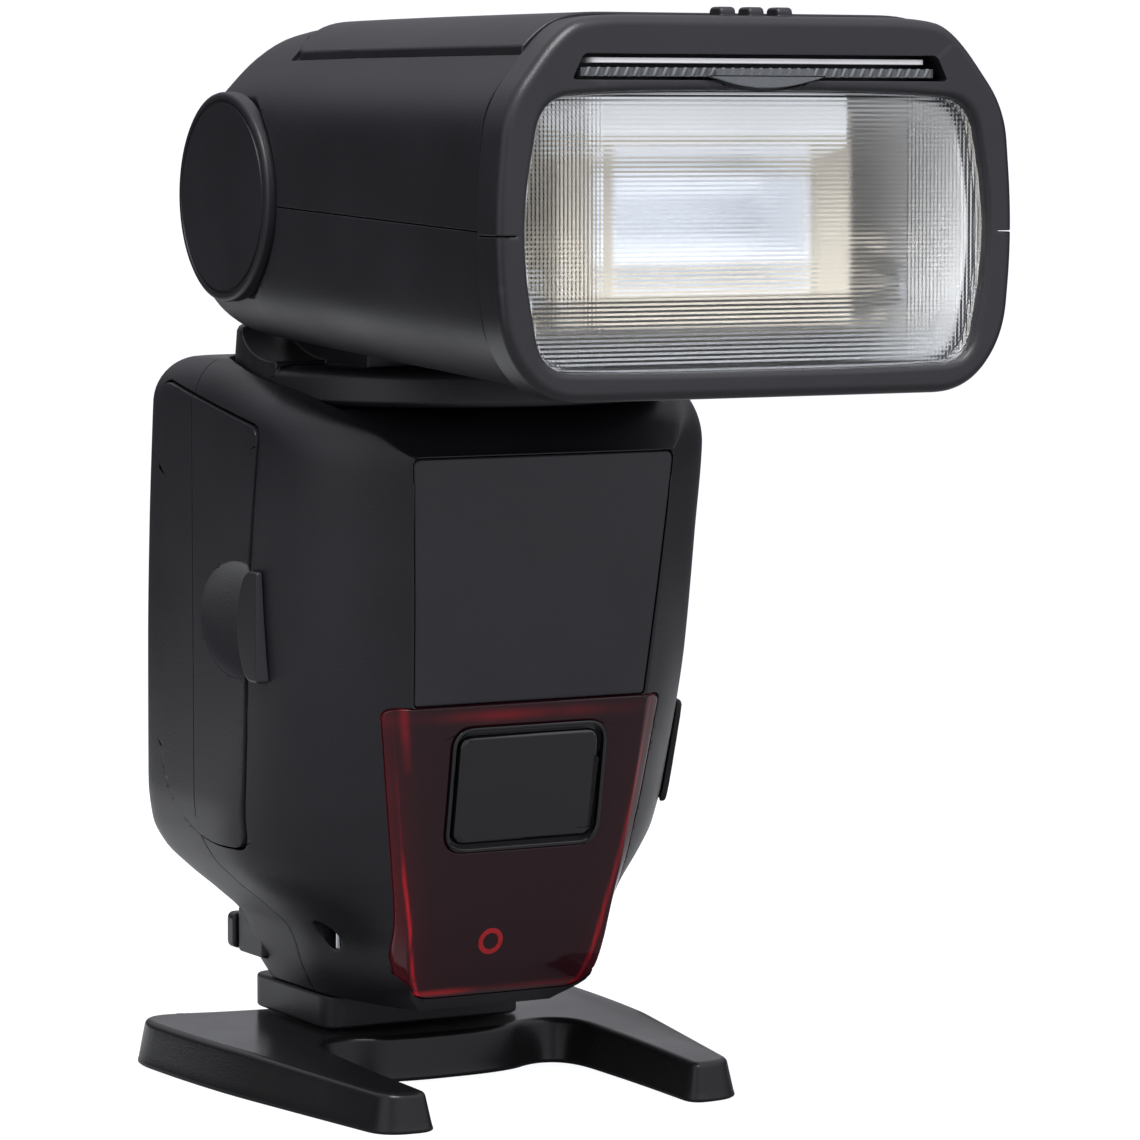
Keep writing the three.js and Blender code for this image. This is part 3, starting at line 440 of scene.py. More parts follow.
SHELL = moulded("charcoal_shell", (0.0105, 0.0102, 0.0135), 0.42)
HEAD_SHELL = moulded("charcoal_head", (0.0095, 0.0092, 0.0125), 0.44)
PANEL = moulded("front_panel_plastic", (0.0255, 0.0255, 0.030), 0.40, grain=0.00002)
TRIM = moulded("satin_trim", (0.0135, 0.0133, 0.0165), 0.38, grain=0.00002)
STAND = moulded("stand_plastic", (0.008, 0.008, 0.0085), 0.26, grain=0.000012, sheen=0.35)
RUBBER = moulded("black_rubber", (0.012, 0.012, 0.012), 0.7, grain=0.00004, size=2200, sheen=0.3)
GLOSS = polished("gloss_black", (0.006, 0.006, 0.007), 0.08)
STEEL = metal("plated_steel", (0.62, 0.63, 0.65))
BRASS = metal("gilt_brass", (0.72, 0.5, 0.2))
CREAM = moulded("cream_carriage", (0.60, 0.55, 0.46), 0.5, grain=0.00001)
WHITE = moulded("white_card", (0.9, 0.9, 0.89), 0.5, grain=0.000008)
# The reflector gives off a little light: painted light that brightens the inside of the head, as it is no lamp.
SILVER = lit(moulded("reflector_silver", (0.88, 0.9, 0.94), 0.3, grain=0.000004), (0.95, 0.98, 1), 0.1)
BOARD = moulded("circuit_board", (0.02, 0.09, 0.04), 0.5, grain=0.00003, size=900)
CELL = metal("cell_jacket", (0.25, 0.3, 0.36), 0.35)

# ---------------------------------------------------------------- pieces


def piece(obj, body, finish, slot, *nodes, sharp=38):
    """Turns a mesh in millimetres into a finished piece that rides on a body."""
    mesh = obj.data
    mesh.transform(Matrix.Scale(0.001, 4))
    mesh.materials.clear()
    mesh.materials.append(finish)
    mesh.polygons.foreach_set("use_smooth", [True] * len(mesh.polygons))
    mesh.set_sharp_from_angle(angle=math.radians(sharp))
    weighted = obj.modifiers.new("normals", "WEIGHTED_NORMAL")
    weighted.keep_sharp = True
    weighted.weight = 60
    bake(obj)
    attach(obj, body)
    if nodes:
        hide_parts(*nodes)
    return obj


# ---------------------------------------------------------------- body form

LEVEL_Z = [12.5, 16.5, 22.5, 26, 30, 34, 38, 44, 65, 82, 97, 108.2]
SIDE_X = [16.6, 18.6, 20.8, 24.4, 29.2, 33.2, 35.3, 36, 36, 36, 36, 36]
TURN_Y = [-12, -13, -13, -13.8, -15, -16, -16.8, -18.5, -25.5, -28.5, -31, -31]
TURN_PULL = [2, 2.2, 2.2, 2.8, 3.6, 4, 3.8, 3.4, 2.4, 2.4, 2.4, 2.4]
PANEL_X = [11, 15, 16.4, 16.7, 17.1, 17.6, 17.9, 18.4, 19.8, 20.7, 21.3, 21.6]
PANEL_Y = [-31.5, -36.8, -38.8, -39.7, -40.6, -41.5, -42.3, -43.5, -46.9, -49.2, -50.7, -51]
BACK_Y = [11, 12.2, 12.4, 12.6, 12.8, 13.1, 13.1, 13.1, 12.9, 12.1, 10.8, 9.6]
ROOF = ([-60, -56, -50.6, -46.5, -39.5, -30, -9, 20], [93, 94, 95.6, 99, 101.6, 104.6, 108.2, 108.2])
WALL = 2.0
REAR_CORNER = 5.0
BODY_DEPTH = 78
NEAR_ROOF = [7.8, 6.7, 5.7, 4.8, 4, 3.2, 2.5, 1.9, 1.4, 1, 0.65, 0.35, 0.15, 0]


def roof(y):
    return smooth(y, *ROOF)


def body_points(z, depth, inset):
    """One side of a section, front middle to rear middle: z and depth have a value for each point."""
    top = np.sqrt(np.maximum(0, 1 - np.maximum(0, 1 - depth / 7) ** 2))
    side = smooth(z, LEVEL_Z, SIDE_X) - 5 * (1 - top) - inset
    back = smooth(z, LEVEL_Z, BACK_Y) - 6 * (1 - top) - inset
    panel = smooth(z, LEVEL_Z, PANEL_X) - inset / 2
    front = smooth(z, LEVEL_Z, PANEL_Y) + inset
    turn = smooth(z, LEVEL_Z, TURN_Y)
    pull = smooth(z, LEVEL_Z, TURN_PULL)
    x, y = np.zeros(65), np.zeros(65)
    t, s = np.arange(9) / 8, slice(0, 9)
    x[s], y[s] = panel[s] * t, front[s]
    t, s = np.arange(1, 27) / 26, slice(9, 35)
    x[s] = curved(t, panel[s], side[s] - pull[s], side[s])
    y[s] = curved(t, front[s], turn[s] + 0.6 * (front[s] - turn[s]), turn[s])
    t, s = np.arange(1, 15) / 14, slice(35, 49)
    x[s], y[s] = side[s], turn[s] + (back[s] - REAR_CORNER - turn[s]) * t
    t, s = np.arange(1, 9) / 8, slice(49, 57)
    x[s] = curved(t, side[s], side[s], side[s] - REAR_CORNER)
    y[s] = curved(t, back[s] - REAR_CORNER, back[s], back[s])
    s = slice(57, 65)
    x[s], y[s] = (side[s] - REAR_CORNER) * (1 - t), back[s]
    flank = slice(8, 60)
    x[flank], y[flank] = relaxed(np.stack([x[flank], y[flank]], axis=1), 6).T
    return x, y


def body_ring(share, inset, drop):
    """A ring of the upper body: share 0 is level at z 30, share 1 follows the roof."""
    low = 30.0
    z = np.full(65, low + share * (104 - low))
    for _ in range(4):
        x, y = body_points(z, np.full(65, (1 - share) * BODY_DEPTH), inset)
        z = low + share * (roof(y) - drop - low)
    return x, y, z


def whole(x, y, z):
    """Both sides of a section as one ring."""
    half = np.stack([x, y, z], axis=1)
    other = half[-2:0:-1] * [-1, 1, 1]
    return np.vstack([half, other])


def body_form(name, inset=0.0):
    drop = 1.2 * inset
    rings = []
    for z in np.linspace(12.5 + inset, 30, 22)[:-1]:
        x, y = body_points(np.full(65, z), np.full(65, 99.0), inset)
        rings.append(whole(x, y, np.full(65, z)))
    for depth in [*np.linspace(BODY_DEPTH, 9, 78), *NEAR_ROOF]:
        rings.append(whole(*body_ring(1 - depth / BODY_DEPTH, inset, drop)))
    rim = rings[-1]
    for share in (0.98, 0.95, 0.9, 0.83, 0.74, 0.6, 0.4, 0.2, 0.05):
        ring = rim * [share, 1, 1]
        ring[:, 1] = SWIVEL_Y + share * (rim[:, 1] - SWIVEL_Y)
        ring[:, 2] = roof(ring[:, 1]) - drop
        rings.append(ring)
    return skin(name, rings)


# ---------------------------------------------------------------- body cutters

WINDOW_TOP = box("front_panel")[0][2]
PANEL_TOP = 95.3
WINDOW_LOW = box("red_window")[0][2] - 1.6
GAP = 0.16
SPLIT_Y = -8.5
POCKET_Z = 101.9


def front_cutter(name, shape):
    return prism(name, "y", shape, -60, -30)


def panel_half(z):
    return 16.4 + (z - 22.5) * (21.3 - 16.4) / (97 - 22.5)


def panel_cutter(grow):
    shape = rounded(mirrored([[panel_half(WINDOW_TOP) + grow, WINDOW_TOP - grow, 0.6],
                              [panel_half(PANEL_TOP) + grow, PANEL_TOP + grow, 1.4]]))
    return front_cutter("panel_cutter", shape)


def window_half(z):
    """Half the window's width: it wraps round the body's ridge, further towards its top."""
    return smooth(z, LEVEL_Z, PANEL_X) + np.interp(z, [WINDOW_LOW, 25, 40, WINDOW_TOP], [0.1, 0.9, 2.2, 3.5])


def window_cutter(grow):
    levels = np.linspace(WINDOW_LOW + 4, WINDOW_TOP - 3, 16)
    side = [[window_half(z) + grow, z] for z in levels]
    shape = rounded(mirrored([[window_half(WINDOW_LOW) + grow - 0.4, WINDOW_LOW - grow, 3.4], *side,
                              [window_half(WINDOW_TOP) + grow, WINDOW_TOP - 0.3 + grow, 2.2]]), 12)
    return front_cutter("window_cutter", shape)


def door_cutter(grow):
    shape = rounded([[-30.4 - grow, 99 + grow, 2.5], [-26.6 - grow, 78, 20], [-25.2 - grow, 59, 20],
                     [-22.4 - grow, 44, 8], [-20.8 - grow, 36.8 - grow, 2.5], [-10, 36.8 - grow, 6],
                     [-2, 40.5 - grow, 5], [3.6 + grow, 47, 4], [3.6 + grow, 104.9 + grow, 4]], 10)
    return prism("door_cutter", "x", shape, -42, -27)


def assist_shape(grow=0.0):
    return outline_of("assist_lens", "y", 3.4 + grow, grow, 10)


ROUND_KEYS = ("mode", "wireless", "test")
FUNCTION_KEYS = ("1", "2", "3", "4")


def rear_cutters():
    shapes = [outline_of("lcd_window", "y", 2.4, 0.2)]
    shapes += [outline_of("function_button_" + key, "y", 1.6, 0.25) for key in FUNCTION_KEYS]
    for name in [key + "_button" for key in ROUND_KEYS] + ["select_dial"]:
        x, z, width, _ = seen(name, "y")
        shapes.append(circle(x, z, width / 2 + 0.3))
    shapes.append(rectangle(-5.5, 18.6, 17, 2, 0.8))
    return [prism("rear_hole", "y", shape, 5, 20) for shape in shapes]


def side_cutters():
    cutters = []
    for name in ("pc_socket", "sync_jack"):
        y, z, _, height = seen(name, "x")
        cutters.append(prism("socket_hole", "x", circle(y, z, height / 2 + 0.2, 64), 26, 40))
    return cutters


def body_case():
    """Outer body less its hollow, with the pocket that the neck turns in."""
    case = body_form("body_case")
    hollow = body_form("hollow", WALL)
    cut(hollow, rod("keep", "z", 0, SWIVEL_Y, 34.4, POCKET_Z - 2.5, 120))
    pocket = turned("pocket", "z", 0, SWIVEL_Y, [[POCKET_Z, 32.2], [104.5, 32.2], [120, 32.4]])
    return cut(case, hollow, pocket, rod("hub", "z", 0, SWIVEL_Y, 15.4, 90, 110))


def lever_boss():
    """The raised part of the rear shell that the lock lever slides in."""
    low, high = box("lock_lever")
    left, right, back = low[0] + 0.5, high[0] + 9, REAR_Y + 0.2
    shape = rounded([[left, 4, 1], [left, back, 1], [right, back, 1], [right, 4, 1]])
    boss = prism("lever_boss", "z", shape, low[2] - 0.3, high[2] + 1.2, bevel=0.6)
    return cut(boss, block("boss_slot", -14.2, 3.4, 3, 20, 17.5, 19.7), body_form("boss_room", 1.5))


def body_pieces():
    case = body_case()
    panel = common(copy(case, "front_panel_skin"), panel_cutter(0))
    piece(soften(panel, 0.3, 3), "flash_body", PANEL, "panel", "front_panel")
    window = common(copy(case, "red_window_skin"), window_cutter(0))
    window_piece(cut(window, front_cutter("assist_hole", assist_shape(0.1))))
    shell = cut(case, panel_cutter(GAP), window_cutter(GAP), door_cutter(0.35), *side_cutters(), *rear_cutters())
    front = cut(copy(shell, "front_shell_skin"), block("rear_half", -60, 60, SPLIT_Y - GAP / 2, 60, 0, 130))
    rear = cut(shell, block("front_half", -60, 60, -80, SPLIT_Y + GAP / 2, 0, 130))
    rear.name = "rear_shell_skin"
    join(rear, lever_boss())
    bracket_hole(front)
    piece(soften(front, 0.13), "flash_body", SHELL, "shell", "front_shell")
    piece(soften(rear, 0.13), "flash_body", SHELL, "shell", "rear_shell")


def window_finish():
    """Dark wine-red translucent plastic, with painted light: red streaks and a soft glow along its rim, painted into
    its colour and given off as light.
    """
    made, tree, shader = material("wine_window", 0.07, colour=(0.03, 0.01, 0.013))
    broad = noise(tree, 70, 2)
    bands = []
    for name in ("streak", "glow"):
        found = tree.nodes.new("ShaderNodeAttribute")
        found.attribute_name = name
        band = combined(tree, "MULTIPLY", found.outputs["Fac"], spread(tree, broad, 0.35, 1.2))
        band.use_clamp = True
        bands.append(band.outputs[0])
    streaks = combined(tree, "MAXIMUM", *bands).outputs[0]
    feed(tree, shader, Base_Color=blended(tree, streaks, (0.012, 0.003, 0.0045), (0.30, 0.008, 0.012)),
         Roughness=spread(tree, broad, 0.05, 0.1),
         Emission_Color=blended(tree, streaks, (0.006, 0.0016, 0.0026), (0.30, 0.004, 0.009)))
    given(shader, Emission_Strength=1.0, Specular_IOR_Level=0.4)
    bumped(tree, shader, noise(tree, 160, 1), 0.00001, 0.3)
    return made


def band(value, middle, width):
    return np.exp(-((value - middle) / width) ** 2)


def fade(value, *steps):
    """Steps are places and strengths in turn."""
    return np.interp(value, steps[0::2], steps[1::2])


def window_piece(window):
    """The red window, with the strength of its painted streaks of light and of its painted soft glow kept at each
    point.
    """
    piece(refine(soften(window, 0.25, 3), 0.55), "flash_body", window_finish(), "window", "red_window")
    mesh = window.data
    place = np.array([v.co for v in mesh.vertices]) * 1000 - ORIGIN
    x, z = place[:, 0], place[:, 2]
    low, high = WINDOW_LOW, WINDOW_TOP - 0.3
    edge = window_half(z) - np.abs(x)
    left, right = x < 0, x > 0
    # Painted light: red streaks and a soft glow along the window's sides, top and bottom edge.
    streak = (left * band(edge, 1.2, 0.2) * fade(z, low, 0.8, low + 18, 0.7, low + 24, 0.15, high, 0.1)
              + right * band(edge, 2.2, 0.3) * fade(z, low, 0.3, low + 8, 0.6, high, 0.5)
              + band(z - low, 0.9, 0.45) * fade(x, -18, 0.6, -8, 0.5, -3, 0.08, 18, 0.1))
    glow = (left * band(edge, 2.6, 0.5) * fade(z, high - 10, 0, high - 4, 0.35)
            + band(high - z, 1.6, 0.8) * fade(x, -18, 0.05, -6, 0.2, 6, 0.18, 14, 0.05)
            + 0.1 * np.exp(-np.maximum(edge, 0) / 1.5))
    for name, values in (("streak", streak), ("glow", glow)):
        layer = mesh.attributes.new(name, "FLOAT", "POINT")
        layer.data.foreach_set("value", np.clip(values, 0, 1).astype(np.float32))


def body_layer(name, over, under):
    """A sheet that follows the body's surface, between two insets."""
    return cut(body_form(name, over), body_form("under", under))


def hoop(outer, inner):
    """A cutter between two outlines on the body's front."""
    return cut(front_cutter("outer", outer), prism("inner", "y", inner, -61, -29))


def assist_piece():
    """Gloss sensor cover: a pillowed pad in a dark moat."""
    face = body_layer("assist_frame", -0.45, 2.4)
    pad = common(copy(face, "assist_pad"), front_cutter("pad_shape", assist_shape(-1.15)))
    piece(soften(pad, 0.9, 5), "flash_body", GLOSS, "gloss")
    ring = common(face, hoop(assist_shape(0), assist_shape(-0.55)))
    piece(soften(ring, 0.18, 3), "flash_body", GLOSS, "gloss", "assist_lens")
    floor = common(body_form("assist_moat", 0.9), prism("moat_shape", "y", assist_shape(-0.1), -60, -36))
    piece(cut(floor, body_form("moat_back", 2.2)), "flash_body", GLOSS, "gloss")


def sensor_ring():
    """Red ring printed round the wireless sensor, on the window's face."""
    x, _, z = centre("wireless_sensor")
    ring = body_layer("sensor_ring", -0.05, 0.2)
    common(ring, hoop(circle(x - 0.9, z, 2.0), circle(x - 0.9, z, 1.25)))
    finish, tree, shader = material("red_ring", 0.25, colour=(0.4, 0.01, 0.015))
    feed(tree, shader, Base_Color=blended(tree, noise(tree, 900, 2), (0.3, 0.006, 0.01), (0.5, 0.015, 0.02)))
    piece(ring, "flash_body", finish, "window")


def bracket_hole(shell):
    """Slanted oval hole low on the camera's left flank, with a bright bar inside."""
    t = np.linspace(0, 2 * math.pi, 48, endpoint=False)
    u, v = 2.4 * np.cos(t), 2.2 * np.sin(t)
    lean = math.radians(28)
    oval = np.stack([-20.4 + u * math.cos(lean) + v * math.sin(lean),
                     23.0 - u * math.sin(lean) + v * math.cos(lean)], axis=1)
    cut(shell, prism("oval", "x", oval, -26, -17.6))
    shape = rounded([[-19.2, -21.6, 0.4], [-18.2, -21.6, 0.4], [-18.2, -20.7, 0.4], [-19.2, -20.7, 0.4]])
    piece(prism("bracket_bar", "z", shape, 20.9, 25.2, bevel=0.25), "flash_body", STEEL, "steel")


def scoop():
    """The shallow oval hollow that a thumb slides the door with."""
    x, y, z = -36.6, -25, 70.8
    deep, long, tall = 1.9, 14.4, 9
    rings = []
    for t in np.linspace(0.02, math.pi - 0.02, 40):
        ring = circle(0, 0, 1, 72) * math.sin(t)
        across = np.full(72, x - 0.2 - deep * math.cos(t))
        rings.append(np.stack([across, y + long * ring[:, 0], z + tall * ring[:, 1]], axis=1))
    return skin("scoop", rings)


def door_pieces():
    door = cut(body_form("battery_door_skin", -0.3), body_form("door_back", 2.2))
    common(door, door_cutter(0))
    cut(door, scoop())
    cut(soften(door, 0.14), block("crease", -40, -36.02, -8.42, -8.18, 38.6, 106))
    piece(door, "door", SHELL, "shell", "battery_door")
    low, high = box("door_latch")
    middle = (low[2] + high[2]) / 2
    shape = rounded([[low[1], low[2], 0.6], [high[1] - 2.2, low[2], 2.4], [high[1] + 0.6, middle - 3, 6],
                     [high[1] + 0.6, middle + 3, 6], [high[1] - 2.2, high[2], 2.4], [low[1], high[2], 0.6]], 10)
    latch = prism("door_latch_pad", "x", shape, low[0], -33, bevel=0, low_bevel=0.45)
    piece(cut(latch, body_form("latch_back", -0.36)), "latch", TRIM, "shell", "door_latch")


# ---------------------------------------------------------------- head

STATION_Y = [-104.6, -60, -34, -25, -19, -14, -10, -7, -5.4]
STATION_TOP = [156.5, 156.6, 156.5, 155.8, 154.2, 151.4, 147.9, 143.6, 138.6]
STATION_HALF = [39.2, 38.7, 38.2, 38, 37.7, 37.1, 36.2, 35, 33.6]
STATION_LOW = [107.2, 109.5, 110.9, 111.4, 112, 113.2, 115.2, 118.2, 122.4]


def head_section(top, half, low, inset):
    """The head's section as a rounded outline of 200 points, in (x, z)."""
    tall = min(1, (top - low) / 45)
    corners = [[25.5, top], [28.6, top - 0.7 * tall], [31, top - 2.4 * tall], [36.9 - inset, top - 9.4 * tall],
               [half - 0.3, top - 11.9 * tall], [half, top - 14.5 * tall], [half, low + 10 * tall],
               [half - 0.4, low + 7.6 * tall], [half - 1.5, low + 5.6 * tall], [32.6 - inset / 2, low + tall],
               [30, low + 0.2 * tall], [27, low], [0, low]]
    right = np.array([[0, top]] + [[min(x, half), z] for x, z in corners], float)
    right = relaxed(evenly(right, 101, closed=False), 8)
    return np.vstack([right, right[-2:0:-1] * [-1, 1]])


def head_form(name, inset=0.0):
    along = np.concatenate([[0], np.cumsum(np.hypot(np.diff(STATION_Y), np.diff(STATION_TOP)))])
    rings = []
    for s in np.concatenate([np.linspace(0, along[2], 60)[:-1], np.linspace(along[2], along[-1], 50)]):
        y, top, half, low = (float(smooth(s, along, v)) for v in (STATION_Y, STATION_TOP, STATION_HALF, STATION_LOW))
        section = head_section(top - inset, half - inset, low + inset, inset)
        rings.append(lifted(section, "y", min(max(y, STATION_Y[0]), STATION_Y[-1] - inset)))
    kept = [rings[0]]
    for ring in rings[1:]:
        if ring[0][1] - kept[-1][0][1] > 1e-3 or abs(ring[0][2] - kept[-1][0][2]) > 1e-3:
            kept.append(ring)
    return skin(name, kept)


SLOT_RADIUS = 16.2
SEAM_SLOPE = math.atan(0.0386)
SEAM_Z = 131.6


def cheek_slot():
    """The slot that the yoke's column stands in."""
    arc = [[TILT[0] + SLOT_RADIUS * math.cos(t), TILT[1] + SLOT_RADIUS * math.sin(t)]
           for t in np.linspace(math.pi / 2, math.pi, 40)]
    shape = np.array([[TILT[0] - SLOT_RADIUS, 90], [20, 90], [20, TILT[1] + SLOT_RADIUS]] + arc)
    return prism("cheek_slot", "x", shape, -23.3, 23.3)


def pivot_recess(side):
    profile = [[side * 37.0, 15.45], [side * 37.9, 15.5], [side * 38.5, 16.4], [side * 39.2, 18.4], [side * 41, 26]]
    return turned("recess", "x", *TILT, profile)


def seam_side(above):
    """Everything above or below the seam between the head's shells, less half a gap."""
    corners = [[-130, 0], [60, 0], [60, 60], [-130, 60]] if above else [[-130, -60], [60, -60], [60, 0], [-130, 0]]
    shift = GAP / 2 if above else -GAP / 2
    turn = np.array([[math.cos(SEAM_SLOPE), -math.sin(SEAM_SLOPE)], [math.sin(SEAM_SLOPE), math.cos(SEAM_SLOPE)]])
    shape = (np.array(corners) + [0, shift]) @ turn.T + [TILT[0], SEAM_Z]
    return prism("seam", "x", shape, -60, 60)


def lens_rings(grow, *steps):
    """The lens outline scaled about its middle: each step is width share, height share and y."""
    outline, middle = evenly(lens_shape(grow), 160), np.array([0, LENS[2]])
    return [lifted(middle + (outline - middle) * [across, high], "y", y) for across, high, y in steps]


def front_cavity():
    """The hollow behind the lens, as wide as the lens at the front."""
    return skin("front_cavity", lens_rings(0.6, (1, 1, -120), (1, 1, -100), (0.97, 0.93, -86), (0.96, 0.86, -60),
                                           (0.95, 0.84, -44)))


def head_pieces():
    case = head_form("head_case")
    cut(case, front_cavity(), cheek_slot(), pivot_recess(-1), pivot_recess(1),
        rod("axle_hole", "x", *TILT, 6.4, -50, 50, 48), rod("button_hole", "x", *TILT, 12.3, 34, 50))
    cut(case, cut(block("cover_room", -33.1, 33.1, -120, -35.9, 149, 170), head_form("cover_floor", 0.9)))
    upper = common(copy(case, "head_upper_skin"), seam_side(True))
    lower = common(case, seam_side(False))
    lower.name = "head_lower_skin"
    piece(soften(upper, 0.13), "head", HEAD_SHELL, "shell", "head_upper_shell")
    piece(soften(lower, 0.13), "head", HEAD_SHELL, "shell", "head_lower_shell")
    cover = cut(head_form("head_cover_skin", -0.75), head_form("cover_back", 0.8))
    shape = rounded([[-33, HEAD_FRONT, 0], [33, HEAD_FRONT, 0], [33, -36, 4], [-33, -36, 4]])
    common(cover, prism("cover_shape", "z", shape, 149, 170))
    piece(soften(cover, 0.3, 3), "head", HEAD_SHELL, "shell", "head_top_cover")


# ---------------------------------------------------------------- bezel, lens and what shows through it


def bezel_shape(grow=0.0):
    shape = rounded(mirrored([[32.6, 106.3, 5], [38.8, 113.4, 5], [40.2, 128.3, 14], [38.8, 144.8, 4.5],
                              [30.4, 155.4, 6], [25, 156.8, 6]]), 10)
    return grown(shape, grow) if grow else shape


def lens_shape(grow=0.0):
    low, high = LENS[2] - 18.3, LENS[2] + 18.3
    return rounded(mirrored([[20, low - 0.2 - grow, 16], [33.2 + grow, low + 0.3 - grow, 4.6],
                             [36.5 + grow, LENS[2], 18], [33.2 + grow, high - 0.7 + grow, 4.6],
                             [20, high + 0.2 + grow, 16]]), 12)


def by_angle(shape, middle):
    """The outline's points at 480 equal angles about a middle point."""
    offset = shape - middle
    angle = np.unwrap(np.arctan2(offset[:, 1], offset[:, 0]))
    if angle[-1] < angle[0]:
        shape, angle = shape[::-1], angle[::-1]
    angle = np.concatenate([angle - 2 * math.pi, angle, angle + 2 * math.pi])
    line = np.vstack([shape, shape, shape])
    order = np.argsort(angle)
    at = np.linspace(-math.pi, math.pi, 480, endpoint=False)
    return np.stack([np.interp(at, angle[order], line[order, i]) for i in (0, 1)], axis=1)


def bezel_piece():
    """The frame round the lens: a loop of rings from its back, over its rounded edges, to its back again."""
    middle = np.array([0, 130.5])
    level = lambda shape, y: lifted(by_angle(shape, middle), "y", y)
    back, outer, inner = HEAD_FRONT - 0.3, 1.5, 0.9
    rings = [level(bezel_shape(), back)]
    for t in np.linspace(0, math.pi / 2, 9):
        rings.append(level(bezel_shape(-outer * (1 - math.cos(t))), BEZEL_FACE + outer * (1 - math.sin(t))))
    for t in np.linspace(0, math.pi / 2, 6):
        rings.append(level(lens_shape(inner * (1 - math.sin(t))), BEZEL_FACE + inner * (1 - math.cos(t))))
    rings.append(level(lens_shape(), back))
    bezel = skin("bezel_frame", rings, around=True)
    slot = rounded(mirrored([[28.9, 148.3, 0.6], [27.2, 151.7, 0.8]]))
    cut(bezel, prism("slot", "y", slot, -120, -100),
        block("side_groove", -45, -37.2, -111, -100, 128.0, 128.16),
        block("side_groove", 37.2, 45, -111, -100, 128.0, 128.16))
    for x in (-4.4, 0, 4.4):
        join(bezel, prism("grip_rib", "x", rectangle(-107.4, 157.0, 3.2, 2.0, 0.9), x - 1.2, x + 1.2, bevel=0.4))
    tab_dip = rounded(mirrored([[10.8, 149.2, 2.5], [3, 146.9, 3]]))
    cut(bezel, prism("tab_dip", "y", tab_dip, -112, -109.9))
    piece(soften(bezel, 0.15), "head", TRIM, "shell", "bezel")


def lens_finish():
    """Clear prismatic plastic that lets light through to what is behind it."""
    made, tree, shader = material("prismatic_lens", 0.16, colour=(0.97, 0.98, 0.98))
    given(shader, Transmission_Weight=1.0, IOR=1.35)
    feed(tree, shader, Roughness=spread(tree, noise(tree, 90, 2), 0.17, 0.23))
    clear = tree.nodes.new("ShaderNodeBsdfTransparent")
    path = tree.nodes.new("ShaderNodeLightPath")
    mix = tree.nodes.new("ShaderNodeMixShader")
    link(tree, path.outputs["Is Shadow Ray"], mix.inputs[0])
    link(tree, shader.outputs[0], mix.inputs[1])
    link(tree, clear.outputs[0], mix.inputs[2])
    link(tree, mix.outputs[0], tree.nodes["Material Output"].inputs["Surface"])
    return made


def lens_piece():
    """A plate with fine ribs across its front, crossed by upright ribs towards both sides."""
    low, high = box("fresnel_lens")
    pitch, depth, side_depth = 0.62, 0.13, 0.15
    zs = np.arange(low[2] - 1, high[2] + 1, pitch / 2)
    sides = np.arange(23.5, high[0] + 1, 0.3)
    xs = np.concatenate([-sides[::-1], np.linspace(-22, 22, 12), sides])
    rib_z = np.where(np.arange(len(zs)) % 2 == 0, 0.0, depth)
    upright = np.where(np.arange(len(sides)) % 2 == 0, 0.0, side_depth)
    rib_x = np.concatenate([upright[::-1], np.zeros(12), upright])
    front = low[1] + rib_z[:, None] + rib_x[None, :]
    grid_x, grid_z = np.meshgrid(xs, zs)
    points = np.stack([grid_x, front, grid_z], axis=2).reshape(-1, 3)
    back = points.copy()
    back[:, 1] = high[1] - 0.6
    rows, columns = grid_x.shape
    count = rows * columns
    faces = []
    for i in range(rows - 1):
        for j in range(columns - 1):
            a = i * columns + j
            quad = [a, a + 1, a + columns + 1, a + columns]
            faces.append(quad)
            faces.append([v + count for v in reversed(quad)])
    numbers = np.arange(count).reshape(rows, columns)
    rim = [*numbers[0], *numbers[1:, -1], *numbers[-1, -2::-1], *numbers[-2:0:-1, 0]]
    faces += [[int(v) for v in (a, b, b + count, a + count)] for a, b in zip(rim, rim[1:] + rim[:1])]
    plate = make("lens_plate", np.vstack([points, back]), faces)
    common(plate, prism("lens_outline", "y", lens_shape(-0.15), -120, -100))
    piece(plate, "head", lens_finish(), "clear", "fresnel_lens", sharp=12)


def lens_box():
    """The pale liner between the lens and the flash carriage, open at the back."""
    rings = lens_rings(-0.2, (0.97, 0.97, -106.8), (0.95, 0.93, -98), (0.935, 0.84, -84), (0.93, 0.8, -50),
                       (0.945, 0.815, -50), (0.95, 0.855, -84), (0.965, 0.945, -98), (0.99, 0.99, -106.8))
    piece(skin("light_liner", rings, around=True), "head", liner_finish(), "white")


def liner_finish():
    """Frosted pale liner, darker along its floor."""
    made, tree, shader = material("pale_liner", 0.35, colour=(0.7, 0.71, 0.72))
    parts = tree.nodes.new("ShaderNodeSeparateXYZ")
    link(tree, object_place(tree), parts.inputs[0])
    low, high = ((LENS[2] - below + ORIGIN[2]) / 1000 for below in (17, 9))
    height = mapped(tree, parts.outputs["Z"], (low, high), (0, 1))
    feed(tree, shader, Base_Color=blended(tree, height, (0.27, 0.28, 0.3), (0.8, 0.805, 0.81)))
    bumped(tree, shader, noise(tree, 300, 2), 0.00004)
    return made


def inner_pieces():
    """White strip over the carriage."""
    # The strip gives off a little light: painted light that brightens it behind the lens, as it is no lamp.
    finish = lit(material("bright_strip", 0.4, colour=(0.85, 0.86, 0.87))[0], (0.95, 0.97, 1), 0.3)
    strip = prism("white_strip", "x", rectangle(-100.5, LENS[2] + 14.6, 9, 5.6, 0.8), -22.5, 16.5, bevel=0.4)
    piece(strip, "head", finish, "white")


def frosted_finish():
    finish, tree, shader = material("frosted_ribs", 0.25, colour=(0.16, 0.17, 0.18))
    feed(tree, shader, Roughness=spread(tree, noise(tree, 700, 2), 0.2, 0.45))
    return finish


def clear_finish():
    finish, tree, shader = material("smoked_clear", 0.12, colour=(0.36, 0.38, 0.4))
    given(shader, Transmission_Weight=0.75)
    feed(tree, shader, Roughness=spread(tree, noise(tree, 400, 2), 0.08, 0.2))
    return finish


